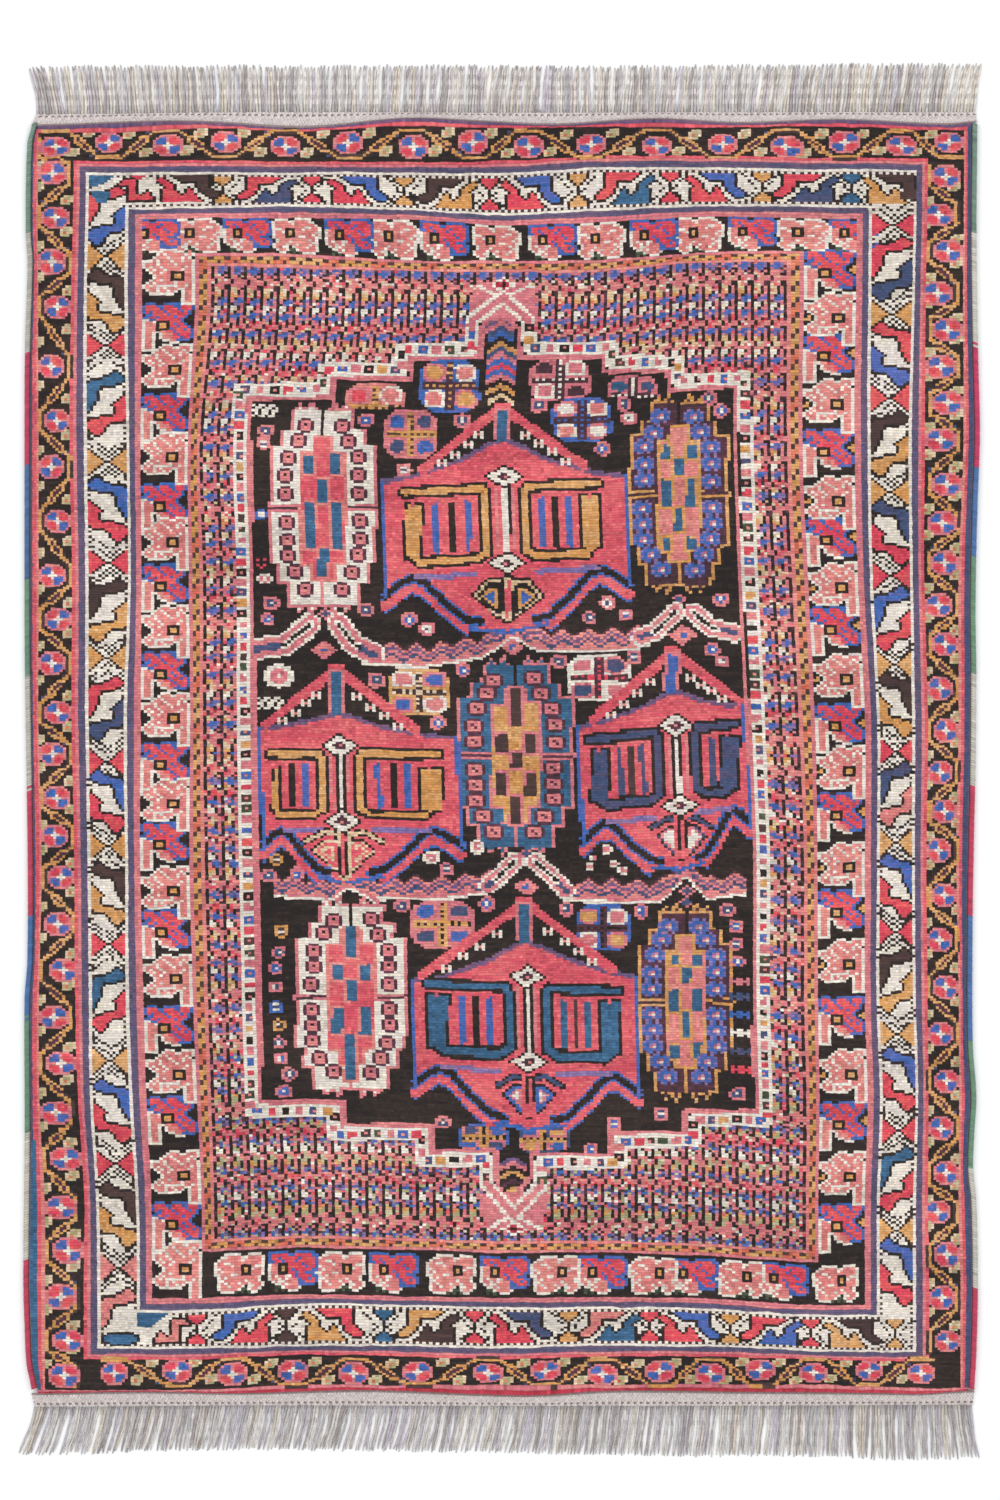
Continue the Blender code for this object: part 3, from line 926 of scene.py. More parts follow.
# A ribbon's stripes over its line: from, to, wool.
RIBBON_STRIPES = ((4, 7, "s"), (7, 10, "n"), (10, 13, "p"), (13, 16, "u"), (16, 19, "s"), (19, 21, "a"))


def ribbon(weave, base):
    """A band of zigzags that stands on a cream line."""
    xs, ys = zip(*base)
    part, px, py = weave.window(min(xs), min(ys) - 30, max(xs), max(ys) + 4)
    over = (px >= min(xs)) & (px <= max(xs))
    high = np.interp(px, xs, ys) - py
    turned = high - np.abs(((px / 24.5) % 1.0) - 0.5) * 16.0 + 4.0
    for low, top, wool in RIBBON_STRIPES:
        weave.put(part, over & (turned >= low) & (turned < top) & (high > 1.0), wool)
    weave.put(part, over & (high > 1.4) & (turned < 4), "p")
    weave.put(part, over & (high > -1.6) & (high <= 1.4), "w")


def curl(weave, route, slit, thick):
    """A ribbon's rolled end: a cream rim, pink, and a dark slit with a cream edge."""
    for less, wool in ((0, "w"), (5.0, "p"), (thick * 0.70, "n")):
        weave.line(route, thick - less, wool)
    xs, ys = zip(*route)
    middle = [(x, float(np.interp(x, xs, ys))) for x in np.linspace(xs[0], xs[-1], 21)]
    for thick, wool in ((7.0, "w"), (3.0, "k")):
        weave.line(middle[slit[0]:slit[1] + 1], thick, wool)


def medallion(weave, x, y, wide, high, kind, bars):
    """A stepped oval with a comb at each end, beads along both sides and bars on its core."""
    (rim, ground, edge, core, bar), bead = MEDALLION_LOOKS[kind]

    def blocks(steps, wider, taller, wool):
        for low, top, half in steps:
            reach = half * wide + wider
            weave.rect(x - reach, y + low * high - taller, x + reach, y + top * high + taller, wool)

    for i, tall in ((-2, 8), (-1, 11), (1, 11), (2, 8)):
        at = x + i * wide * 0.22
        for way in (-1, 1):
            level = y + way * high
            weave.poly([(at - 6, level), (at, level + way * tall), (at + 6, level)], rim)
            weave.poly([(at - 3, level), (at, level + way * tall * 0.6), (at + 3, level)], ground)
    blocks(OUTLINE_STEPS, 1.0, 1.0, rim)
    blocks(OUTLINE_STEPS, -2.4, -0.4, ground)
    weave.rect(x - 2.0, y - high - 9, x + 2.0, y - high * 0.72, "k")
    weave.rect(x - 1.6, y + high * 0.7, x + 1.6, y + high, rim)
    for side in (-1, 1):
        for thick, wool in ((7.0, rim), (2.6, "a")):
            weave.line([(x + side * wide, y), (x + side * wide * 0.44, y)], thick, wool)
    blocks(CORE_STEPS, 2.6, 2.6, edge)
    blocks(CORE_STEPS, 0.0, 0.0, core)
    for count, low, top in bars:
        for u in ((0.0,) if count == 1 else (-0.25, 0.25)):
            for grow, wool in ((2, edge), (0, bar)):
                weave.rect(x + (u - 0.095) * wide - grow, y + low * high - grow,
                           x + (u + 0.095) * wide + grow, y + top * high + grow, wool)
    for u, v in BEAD_PLACES:
        for side in (-1, 1):
            weave.stamp_at(x + side * u * wide, y + v * high, bead)


def house(weave, plan):
    """A gabled house with two boxes, a pole between them, and waves under its walls."""
    def at(u, v):
        """A place in the house: u is 1 at the right wall and -1 at the left one, and v is 1 at the bottom."""
        x = plan["x"] + plan["lean"] * v + u * plan["walls"][u >= 0]
        return x, plan["peak"] + v * plan["high"] + plan["slope"] * (x - plan["x"])

    def along(points, side):
        return [at(side * u, v) for u, v in points]

    def bar(u0, v0, u1, v1, thick, wool):
        weave.line([at(u0, v0), at(u1, v1)], thick, wool)

    eaves = {side: [(u, v * plan["drop"][side > 0]) for u, v in EAVES] for side in (-1, 1)}
    top = at(0, -plan["roof"] / plan["high"])
    feet = {}
    for side in (-1, 1):
        foot = plan["feet"][side > 0]
        drop = np.interp(foot, *zip(*eaves[side]))
        feet[side] = at(side * foot, drop - 0.02)
        weave.poly([top, feet[side]] + along(eaves[side][2::-1], side), "k")
    for side in (-1, 1):
        for down, thick, wool in ((15, 4.0, "b"), (9, 10.0, "f")):
            weave.line([(x, y + down) for x, y in along(WAVE[:-1], side)], thick, wool)
    weave.poly(along(eaves[-1][::-1], -1) + along(eaves[1], 1) + along(WAVE, 1) + along(WAVE[::-1], -1), "f")
    for side in (-1, 1):
        bar(0, 1.0, side * 0.32, 0.965, 12.0, "f")
        bar(0, 1.03, side * 0.32, 1.0, 3.6, "b")
        weave.line(along(eaves[side], side), 4.2, "u")
        weave.line([top, feet[side]], 9.5, "f")
        for share in (0.30, 0.46, 0.62, 0.78):
            x, y = part_way(top, feet[side], share)
            weave.stamp_at(x - side * 2, y + 9 + 3 * (0.62 - share), LOFT_STAR)
        weave.line(along(WAVE, side), 10.0, "b")
        weave.line(along(WAVE, side), 6.2, "k")
        bar(side, plan["drop"][side > 0], side, WAVE[0][1], 4.0, "b")
        bar(side * 0.25, 0.715, side * 0.74, 0.71, 5.2, "v")
    x, y = top
    for half, low, high, wool in ((8.5, y - 5, y + 4, "f"), (8.5, y, plan["peak"] - 1, "p"),
                                  (5, y + 3, plan["peak"] + 2, plan["stem"])):
        weave.rect(x - half, low, x + half, high, wool)
    for side in (-1, 1):
        box(weave, plan, at, side)
    fan(weave, *at(0, 0.845), *plan["fan"])
    pole(weave, at)


def box(weave, plan, at, side):
    """A hooked frame round upright stripes, with a block in its outer corner."""
    span = plan["walls"][side > 0]
    outer, inner = plan["ends"][side > 0], 19 / span
    edge = outer - plan["blocks"][side > 0] / span
    lintel, block_top, sill, sill_thick = plan["levels"]
    upper = [(outer, lintel), (inner + 0.03, lintel)]
    post = [(inner + 0.03, lintel), (inner, lintel + 0.03), (inner, sill - 0.035)]
    lower = [(inner, sill - 0.035), (inner * 1.5, sill), (edge + 0.02, sill), (outer - 0.04, sill - 0.05)]
    for grow, wool in ((6.0, "k"), (0.0, plan["box"])):
        for route, thick in ((upper, 6.4), (post, 7.0), (lower, sill_thick)):
            weave.line([at(side * u, v) for u, v in route], thick + grow, wool)
        (xa, ya), (xb, yb) = at(side * edge, block_top), at(side * outer, sill - 0.03)
        half = grow / 2
        weave.rect(min(xa, xb) - half, ya - half, max(xa, xb) + half, yb + half, wool)
    x, y = at(side * (outer + edge) / 2, block_top - 0.015)
    weave.poly([(x - 4, y - 3), (x, y + 5), (x + 4, y - 3)], "f")
    stripes = plan["stripes"][side > 0]
    start = inner + 4 / span
    for i, wool in enumerate(stripes, 1):
        u = side * (start + (edge - start) * i / (len(stripes) + 1))
        weave.line([at(u, lintel + 0.075), at(u, sill - 0.06)], 6.4, wool)


def pole(weave, at):
    """A cream pole between two pink lines, with a diamond on each end."""
    (xa, ya), (xb, yb) = at(0, 0.26), at(0, 0.58)
    for shift in (-8.5, 8.5):
        weave.line([(xa + shift, ya), (xb + shift, yb)], 3.2, "p")
    for thick, wool in ((9.8, "k"), (4.8, "w")):
        weave.line([at(0, 0.22), at(0, 0.62)], thick, wool)
    for v in (0.195, 0.66):
        weave.diamond(*at(0, v), 20, 13, "kwa", (1.0, 0.82, 0.40))
        weave.block(*at(0, v), 1.7, 1.3, "s")


def fan(weave, x, y, half, hood, leaf, stem):
    """Two leaf halves under a hood on a stem; the wools run from the rim to the heart."""
    for side in (-1, 1):
        if hood:
            bend, end = (x + side * half * 0.55, y - 20), (x + side * half * 1.15, y - 10)
            cover = [(x + side * 7, y - 17), bend, end]
            weave.line(cover, 7.0, "k")
            weave.line(cover, 3.8, hood)
        top = -12 if hood else -20
        shape = [(x + side * 5, y + top), (x + side * half * 0.55, y + top), (x + side * half, y - 2),
                 (x + side * half * 0.3, y + 20), (x + side * 5, y + 22)]
        heart = (x + side * half * 0.42, y)
        for share, wool in zip((1.0, 0.86, 0.73, 0.52, 0.30), leaf):
            weave.poly([part_way(heart, point, share) for point in shape], wool)
    for thick, wool in zip((15.0, 9.5, 4.0), stem):
        weave.line([(x, y - 16), (x, y + 20)], thick, wool)


def chevrons(weave, x, y0, y1, colours):
    """Stacked chevrons that point up, on a column of the ground."""
    part, px, py = weave.window(x - 16, y0 - 10, x + 16, y1 + 10)
    down = (py - y0 - (abs(px - x) * 0.55 - 4)) / (y1 - y0) * len(colours)
    for k, wool in enumerate(colours):
        weave.put(part, (abs(px - x) < 14.5) & (down >= k) & (down < k + 1), wool)


def draw_field(weave):
    """What lies on the black ground inside the cream stripe."""
    weave.poly(STRIPE, "k")
    chevrons(weave, 501, 309, 402, "uaupnbkgnpbrbpkgky")
    chevrons(weave, 513, 1156, 1212, "kupkgkakgkbnb")
    for base in RIBBONS:
        ribbon(weave, base)
    for row in CURLS:
        curl(weave, *row)
    for x, y, *look in HALF_FLOWERS:
        big_flower(weave, x, y, *look)
        weave.rect(x - 34, y + 1, x + 34, y + 26, "k")
    for row in BIG_FLOWERS:
        big_flower(weave, *row)
    for place in ((268, 411), (271, 703)):
        weave.stamp_at(*place, SCRIBBLE)
    for row in MEDALLIONS:
        medallion(weave, *row)
    for plan in HOUSES:
        house(weave, plan)
    for wools, spots in SMALL_FLOWERS.items():
        for spot in spots:
            small_flower(weave, *spot, *wools)
    for x, y, wool in H_MARKS:
        weave.stamp_at(x, y, H_MARK, {"C": wool})
    for x, y, wide in ((324.5, 650, 15), (512.6, 647, 12), (683, 635, 15), (526, 887, 13)):
        weave.diamond(x, y, wide, wide * 0.68, "psb")
    for x, y in ((324.5, 614), (680, 599), (525, 854), (686, 891), (686, 902)):
        weave.diamond(x, y, 8, 6, "pn")


# Heights in metres.
FLOOR_GAP = 0.0004
SLAB_LOW = 0.0008
SLAB_TOP = 0.0066
GROOVE = 0.0076
CROWN = 0.0087
STRIP_TOP = 0.0030
# How many rows of knots one piece of the pile and of the back has, and how many strands one end has.
TILE_ROWS = 164
BACK_ROWS = 246
STRANDS = 296
# How light the pile is beside the table's colours and the back beside the pile, and how far a noise
# mottles every wool.
PILE_SHADE = 1.045
BACK_SHADE = 0.85
MOTTLED = 0.16
# Painted light on a tuft: how light its colour is painted at its middle, as a painted highlight on the crown,
# and at its corners on the sides along the rows and across them, as painted shade in the grooves.
TUFT_PAINTED_SHADING = (1.12, 0.66, 0.84)
# How unevenly the knots lie: how far their rows wander over 25 knots and wobble over 9, and how far a
# corner is off along x and y, all in pixels. Then how far a crown is off along x, y and z, and a groove
# along z, in metres.
ROW_WANDER = 0.35
ROW_WOBBLE = 0.16
CORNER_LOOSE = (0.22, 0.20)
CROWN_LOOSE = (0.00035, 0.00028, 0.00016)
GROOVE_LOOSE = 0.00010

# The bound cord, in photo pixels along and in half widths and heights across: where it starts and ends,
# how long one turn of yarn is and which share of that it slants, and the section.
BOUND_ENDS = (122.6, 1392.0)
WRAP_PITCH = 2.55
WRAP_SLANT = 0.35
CORD_SECTION = (
    (-0.55, 0.02), (0.55, 0.02), (0.95, 0.28), (0.98, 0.62), (0.6, 0.95), (0.0, 1.0), (-0.6, 0.95),
    (-0.98, 0.62), (-0.95, 0.28),
)
# The rings of one turn: how far along the turn, size, and painted shade; the narrow first ring lies in the
# dip between two turns and is painted darker there.
WRAP_RINGS = ((0.04, 0.80, 0.62), (0.32, 0.97, 1.0), (0.68, 0.97, 1.0))
# Yarn of the bound sides: from this y down, this colour.
LEFT_YARN = (
    (100, (0.45, 0.55, 0.49)), (232, (0.70, 0.68, 0.64)), (353, (0.72, 0.24, 0.36)),
    (464, (0.30, 0.42, 0.58)), (577, (0.42, 0.55, 0.46)), (675, (0.72, 0.70, 0.66)),
    (787, (0.74, 0.24, 0.34)), (913, (0.28, 0.42, 0.62)), (1016, (0.40, 0.54, 0.44)),
    (1130, (0.76, 0.73, 0.68)), (1260, (0.74, 0.24, 0.34)),
)
RIGHT_YARN = (
    (100, (0.45, 0.55, 0.49)), (232, (0.78, 0.76, 0.72)), (342, (0.76, 0.22, 0.38)),
    (463, (0.30, 0.44, 0.64)), (553, (0.42, 0.56, 0.46)), (672, (0.76, 0.74, 0.70)),
    (784, (0.76, 0.24, 0.36)), (917, (0.30, 0.44, 0.64)), (1039, (0.42, 0.56, 0.46)),
    (1167, (0.78, 0.76, 0.72)), (1288, (0.76, 0.24, 0.36)),
)

# The end strips: lines of weft, how far they ripple, and how far the twined row stands up.
STRIP_LINES = 7
STRIP_RIPPLE = 0.00028
TWINE_HIGH = 0.0006
# The strands: rings along one, and the colours of cotton.
STRAND_STEPS = 10
STRAND_COLOURS = ((0.80, 0.77, 0.74), (0.74, 0.71, 0.70), (0.84, 0.79, 0.72), (0.78, 0.74, 0.76),
                  (0.86, 0.83, 0.79), (0.68, 0.64, 0.62))

# Soft lamps: name, place and power. Then the even light, and how high the camera is.
LAMPS = (
    ("lamp_left", (-3.2, 1.6, 4.2), 95.0),
    ("lamp_right", (3.2, 1.2, 4.2), 80.0),
    ("lamp_foot", (0.0, -3.6, 4.0), 60.0),
)
LAMP_SIZE = 3.0
WORLD_COLOUR = (0.96, 0.98, 1.0, 1.0)
WORLD_STRENGTH = 0.62
CAMERA_HIGH = 4.8955


def metres(x, y):
    """A place on the photograph as a place on the floor."""
    return (x - MIDDLE_X) * M_PER_PX, (MIDDLE_Y - y) * M_PER_PX


def linear(colour):
    """A colour as it looks on a screen, as the light that the shader wants."""
    colour = np.asarray(colour, float)
    return np.where(colour <= 0.04045, colour / 12.92, ((colour + 0.055) / 1.055) ** 2.4)


def blurred(values, across, down):
    """Evens out random values over this many knots."""
    for axis, size in ((1, across), (0, down)):
        kernel = np.hanning(size + 2)[1:-1]
        kernel /= kernel.sum()
        values = np.apply_along_axis(lambda line: np.convolve(line, kernel, mode="same"), axis, values)
    return values / values.std()


def wool_colours(knots, seed):
    """The colour of every knot: its wool, the wool's streaks along the rows, and each knot's own shade."""
    chance = np.random.default_rng(seed)
    streak, cloud, dye_and_shade = [
        blurred(chance.normal(size=knots.shape), *reach) for reach in ((9, 1), (41, 31), (91, 7))
    ]
    grain = chance.normal(size=knots.shape)
    drift = np.clip(0.35 + 0.33 * streak + 0.20 * cloud + 0.12 * grain, 0, 1)[..., None]
    colour = np.zeros(knots.shape + (3,))
    for letter, base, far in WOOL:
        mask = knots == letter
        colour[mask] = (linear(base) + (linear(far) - linear(base)) * drift)[mask]
    shade = PILE_SHADE * (1 + 0.12 * grain + 0.045 * dye_and_shade + 0.045 * cloud)
    return np.clip(colour * shade[..., None], 0.004, 1.0)


def add_node(nodes, kind, values):
    """A shader node with these numbers on its sockets."""
    node = nodes.new(kind)
    for socket, value in values.items():
        node.inputs[socket].default_value = value
    return node


def material(name, roughness, sheen, scale, bump, streak=(1.0, 1.0, 1.0), colour=None):
    """Wool or cotton: the piece's colours, which on the pile, the bound sides and the strands also hold
    painted shade and painted highlights, mottled by a fine noise that also raises its fibres.
    """
    made = bpy.data.materials.new(name)
    made.use_nodes = True
    nodes, link = made.node_tree.nodes, made.node_tree.links.new
    shader = nodes["Principled BSDF"]
    shader.inputs["Roughness"].default_value = roughness
    shader.inputs["Sheen Weight"].default_value = sheen
    shader.inputs["Sheen Roughness"].default_value = 0.6
    shader.inputs["Specular IOR Level"].default_value = 0.2
    place = nodes.new("ShaderNodeTexCoord")
    stretch = add_node(nodes, "ShaderNodeMapping", {"Scale": streak})
    fine = add_node(nodes, "ShaderNodeTexNoise", {"Scale": scale, "Detail": 3.0, "Roughness": 0.6})
    link(place.outputs["Object"], stretch.inputs["Vector"])
    link(stretch.outputs["Vector"], fine.inputs["Vector"])
    spread = add_node(nodes, "ShaderNodeMapRange", {
        "From Min": 0.3, "From Max": 0.7, "To Min": 1.0 - MOTTLED, "To Max": 1.0 + MOTTLED,
    })
    link(fine.outputs["Fac"], spread.inputs["Value"])
    tint = add_node(nodes, "ShaderNodeMix", {"Factor": 1.0})
    tint.data_type = "RGBA"
    tint.blend_type = "MULTIPLY"
    if colour is None:
        dyed_and_shaded = nodes.new("ShaderNodeAttribute")
        dyed_and_shaded.attribute_name = "dye_and_shade"
        link(dyed_and_shaded.outputs["Color"], tint.inputs[6])
    else:
        tint.inputs[6].default_value = (*linear(colour), 1.0)
    link(spread.outputs["Result"], tint.inputs[7])
    link(tint.outputs[2], shader.inputs["Base Color"])
    raised = add_node(nodes, "ShaderNodeBump", {"Strength": bump, "Distance": 0.0006})
    link(fine.outputs["Fac"], raised.inputs["Height"])
    link(raised.outputs["Normal"], shader.inputs["Normal"])
    return made


def piece(name, points, faces, colours, dressing, smooth=True):
    """One mesh of the model. colours has one row for each face, or one for each corner of each face."""
    faces = np.asarray(faces, np.int32)
    points = np.asarray(points, np.float32)
    sides = faces.shape[1]
    mesh = bpy.data.meshes.new(name)
    mesh.vertices.add(len(points))
    mesh.vertices.foreach_set("co", points.ravel())
    mesh.loops.add(faces.size)
    mesh.loops.foreach_set("vertex_index", faces.ravel())
    mesh.polygons.add(len(faces))
    mesh.polygons.foreach_set("loop_start", np.arange(len(faces), dtype=np.int32) * sides)
    mesh.polygons.foreach_set("loop_total", np.full(len(faces), sides, np.int32))
    mesh.update(calc_edges=True)
    mesh.polygons.foreach_set("use_smooth", np.full(len(faces), smooth))
    if colours is not None:
        # The colour layer: the wool's or yarn's colour, with painted shade and painted highlights in it on
        # the pile's tufts, the bound cord's turns and the strands' twist.
        dye_and_shade = mesh.color_attributes.new("dye_and_shade", "FLOAT_COLOR", "CORNER")
        corners = colours if colours.ndim == 3 else np.repeat(colours[:, None], sides, axis=1)
        rows = np.concatenate([corners, np.ones(faces.shape + (1,))], axis=2)
        dye_and_shade.data.foreach_set("color", rows.astype(np.float32).ravel())
    low, size = points.min(axis=0), np.ptp(points, axis=0)
    layer = mesh.uv_layers.new(name="OFBake")
    flat = ((points[faces.ravel()] - low) / np.maximum(size, 1e-6))[:, :2]
    layer.data.foreach_set("uv", flat.astype(np.float32).ravel())
    mesh.materials.append(dressing)
    thing = bpy.data.objects.new(name, mesh)
    bpy.context.scene.collection.objects.link(thing)
    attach(thing, "root")
    return thing


def corner_points(*grids):
    """The points of a grid, from a grid of numbers for each axis."""
    return np.stack(grids, axis=-1).reshape(-1, 3)


def knot_corners(rows):
    """For each knot of this many rows, the number of its four corner points."""
    r, c = np.mgrid[0:rows, 0:COLS]
    first = (r * (COLS + 1) + c).ravel()
    return first, first + 1, first + COLS + 1, first + COLS + 2


def make_pile(weave, dressing):
    """The pile in three tiles: a small tuft for every knot, with grooves between."""
    chance = np.random.default_rng(11)
    rows, cols = np.mgrid[0 : ROWS + 1, 0 : COLS + 1].astype(float)

    def loose(spread, shape=rows.shape):
        """Random values of this spread, one for each corner or knot."""
        return chance.normal(size=shape) * spread

    def middle_of(grid):
        return (grid[1:, 1:] + grid[:-1, 1:] + grid[1:, :-1] + grid[:-1, :-1]) / 4

    wander = blurred(loose(1.0), 25, 25) * ROW_WANDER
    wobble = blurred(loose(1.0), 9, 3) * ROW_WOBBLE
    inside = np.ones(rows.shape)
    inside[[0, -1], :] = 0
    inside[:, [0, -1]] = 0
    x, y = knot_places(rows, cols)
    x += inside * (0.25 * wander + loose(CORNER_LOOSE[0]))
    y += inside * (wander * 0.6 + wobble * 2.0 + loose(CORNER_LOOSE[1]))
    corner_x, corner_y = metres(x, y)
    corner_z = GROOVE + loose(GROOVE_LOOSE)
    corner_z[inside == 0] = SLAB_TOP - 0.0006
    off_x, off_y, off_z = [loose(spread, (ROWS, COLS)) for spread in CROWN_LOOSE]
    mid_x, mid_y = middle_of(corner_x) + off_x, middle_of(corner_y) + off_y
    mid_z = CROWN + np.clip(off_z, -0.0003, 0.0003)
    colours = wool_colours(weave.knots, 7)
    # Painted highlight and painted shade on each tuft: lighter at its middle point, darker at its outer
    # corners, darker still on the sides along the rows.
    middle, along, across = TUFT_PAINTED_SHADING
    shades = np.array([(along, middle, along), (across, middle, across)] * 2)
    a, b, d, e = knot_corners(TILE_ROWS)
    tiles = []
    for k in range(ROWS // TILE_ROWS):
        part = slice(k * TILE_ROWS, (k + 1) * TILE_ROWS + 1)
        knots = slice(k * TILE_ROWS, (k + 1) * TILE_ROWS)
        corners = corner_points(corner_x[part], corner_y[part], corner_z[part])
        middles = corner_points(mid_x[knots], mid_y[knots], mid_z[knots])
        m = len(corners) + np.arange(len(middles))
        sides = [np.stack(side, axis=1) for side in ((a, m, b), (b, m, e), (e, m, d), (d, m, a))]
        faces = np.stack(sides, axis=1).reshape(-1, 3)
        # Each knot's wool colour times the painted highlight and painted shade of its four faces.
        tint = (colours[knots].reshape(-1, 1, 1, 3) * shades[None, :, :, None]).reshape(-1, 3, 3)
        points = np.concatenate([corners, middles])
        tiles.append(piece(f"pile_{k + 1}", points, faces, tint, dressing))
    return tiles, (corner_x, corner_y), colours


def make_back(corner_x, corner_y, colours, dressing):
    """The back, where each knot shows as one small flat bar."""
    a, b, d, e = knot_corners(BACK_ROWS)
    made = []
    for k in range(ROWS // BACK_ROWS):
        part = slice(k * BACK_ROWS, (k + 1) * BACK_ROWS + 1)
        x, y = corner_x[part] * 0.9995, corner_y[part] * 0.9995
        points = corner_points(x, y, np.full(x.shape, FLOOR_GAP))
        tint = colours[k * BACK_ROWS : (k + 1) * BACK_ROWS].reshape(-1, 3) * BACK_SHADE
        faces = np.stack([a, b, e, d], axis=1)
        made.append(piece(f"back_{k + 1}", points, faces, tint, dressing, smooth=False))
    return made


def make_slab(corner_x, corner_y, dressing):
    """The foundation between pile and back, one closed sheet."""
    ring = [(0, c) for c in range(0, COLS, 4)] + [(r, COLS) for r in range(0, ROWS, 4)]
    ring += [(ROWS, c) for c in range(COLS, 0, -4)] + [(r, 0) for r in range(ROWS, 0, -4)]
    outline = [(corner_x[r, c] * 0.9998, corner_y[r, c] * 0.9998) for r, c in ring]
    n = len(outline)
    points = [(x, y, z) for z in (SLAB_LOW, SLAB_TOP) for x, y in outline]
    points += [(0.0, 0.0, SLAB_LOW), (0.0, 0.0, SLAB_TOP)]
    faces = []
    for i in range(n):
        j = (i + 1) % n
        faces += [(i, i + n, j), (j, i + n, j + n), (2 * n, i, j), (2 * n + 1, j + n, i + n)]
    return piece("foundation", points, faces, None, dressing, smooth=False)


def tube(points, faces, colours, rings, tints):
    """Adds a closed tube through these rings of points, with a colour for each ring."""
    base, n = len(points), len(rings[0])
    for ring in rings:
        points.extend(ring)
    for k in range(len(rings) - 1):
        a, b = base + k * n, base + (k + 1) * n
        for i in range(n):
            j = (i + 1) % n
            faces.extend(((a + i, a + j, b + j), (a + i, b + j, b + i)))
            colours.extend((tints[k], tints[k]))
    for start, turn, tint in ((base, -1, tints[0]), (base + (len(rings) - 1) * n, 1, tints[-1])):
        for i in range(1, n - 1):
            faces.append((start, start + i, start + i + 1)[::turn])
            colours.append(tint)


def make_bound_side(name, edge, yarn, side, dressing, seed):
    """The overcast cord: the yarn goes round and round it, each turn a small bead."""
    chance = random.Random(seed)
    line = smooth_line(edge)
    first, last = BOUND_ENDS
    half = BOUND_WIDE / M_PER_PX / 2
    rings, tints = [], []
    for k in range(int((last - first) / WRAP_PITCH)):
        y0 = first + k * WRAP_PITCH
        colour = [tint for start, tint in yarn if start <= y0 + chance.uniform(-3, 3)][-1]
        shade = linear(colour) * (1 + chance.gauss(0, 0.10))
        bulge = 1.0 + chance.uniform(-0.05, 0.02)
        for part, size, painted_shade in WRAP_RINGS:
            y = y0 + part * WRAP_PITCH
            middle = float(read(line, y)) - side * half
            ring = []
            for share, height in CORD_SECTION:
                x, slant = middle + share * half * size * bulge, WRAP_SLANT * WRAP_PITCH * share * side
                z = FLOOR_GAP + height * (BOUND_HIGH - FLOOR_GAP) * (0.4 + 0.6 * size)
                ring.append((*metres(x, y + slant), z))
            rings.append(ring)
            # The turn's yarn colour with its random shade, and painted shade on the narrow ring in the dip
            # between turns.
            tints.append(shade * painted_shade)
    points, faces, colours = [], [], []
    tube(points, faces, colours, rings, tints)
    return piece(name, points, faces, np.array(colours), dressing)


def strip_yarn(i, j):
    """The colour of one crossing in the woven strip; a twined row of two yarns runs beside its outer edge."""
    if j == 0:
        return 0.60, 0.53, 0.52
    if j == STRIP_LINES - 2:
        return (0.52, 0.46, 0.46) if (i // 2) % 2 else (0.80, 0.75, 0.71)
    return (0.82, 0.77, 0.74) if (i + j) % 2 else (0.74, 0.69, 0.67)


def make_strip(name, pile_edge, roots, ends, outward, dressing, seed, tone):
    """The flat woven strip past the pile."""
    chance = random.Random(seed)
    edge_line, root_line = smooth_line(pile_edge), smooth_line(roots)
    count, lines = 2 * STRANDS, STRIP_LINES
    points, faces, colours = [], [], []
    for i in range(count + 1):
        inner_x = ends[0] + i / count * (ends[1] - ends[0])
        outer_x = roots[0][0] + i / count * (roots[-1][0] - roots[0][0])
        inner = (inner_x, float(read(edge_line, inner_x)) + outward * 0.25)
        outer = (outer_x, float(read(root_line, outer_x)) + outward * 0.5)
        for level in (0, 1):
            for j in range(lines + 1):
                ripple = STRIP_RIPPLE * (((i + j) % 2) * 2 - 1) if 0 < j < lines else 0.0
                top = STRIP_TOP + ripple + (TWINE_HIGH if j == lines - 1 else 0.0)
                points.append((*metres(*part_way(inner, outer, j / lines)), top if level else FLOOR_GAP))
    tint = [[linear(strip_yarn(i, j)) * np.array(tone) * (1 + chance.gauss(0, 0.10)) for j in range(lines)]
            for i in range(count)]

    def quad(corners, colour, turned):
        """Adds a face through these points, each given as (i, level, j)."""
        numbers = [(2 * i + level) * (lines + 1) + j for i, level, j in corners]
        a, b, c, d = numbers[::-1] if turned else numbers
        faces.extend(((a, b, c), (a, c, d)))
        colours.extend((colour, colour))

    flip = outward > 0
    for i in range(count):
        n = i + 1
        for j in range(lines):
            quad([(i, 1, j), (n, 1, j), (n, 1, j + 1), (i, 1, j + 1)], tint[i][j], flip)
        quad([(i, 0, 0), (i, 0, lines), (n, 0, lines), (n, 0, 0)], tint[i][2], flip)
        for j in (0, lines):
            quad([(i, 0, j), (n, 0, j), (n, 1, j), (i, 1, j)], tint[i][min(j, lines - 1)], flip != (j > 0))
    for i in (0, count):
        for j in range(lines):
            end = [(i, 0, j), (i, 1, j), (i, 1, j + 1), (i, 0, j + 1)]
            quad(end, tint[min(i, count - 1)][j], flip != (i > 0))
    return piece(name, points, faces, np.array(colours), dressing, smooth=False)


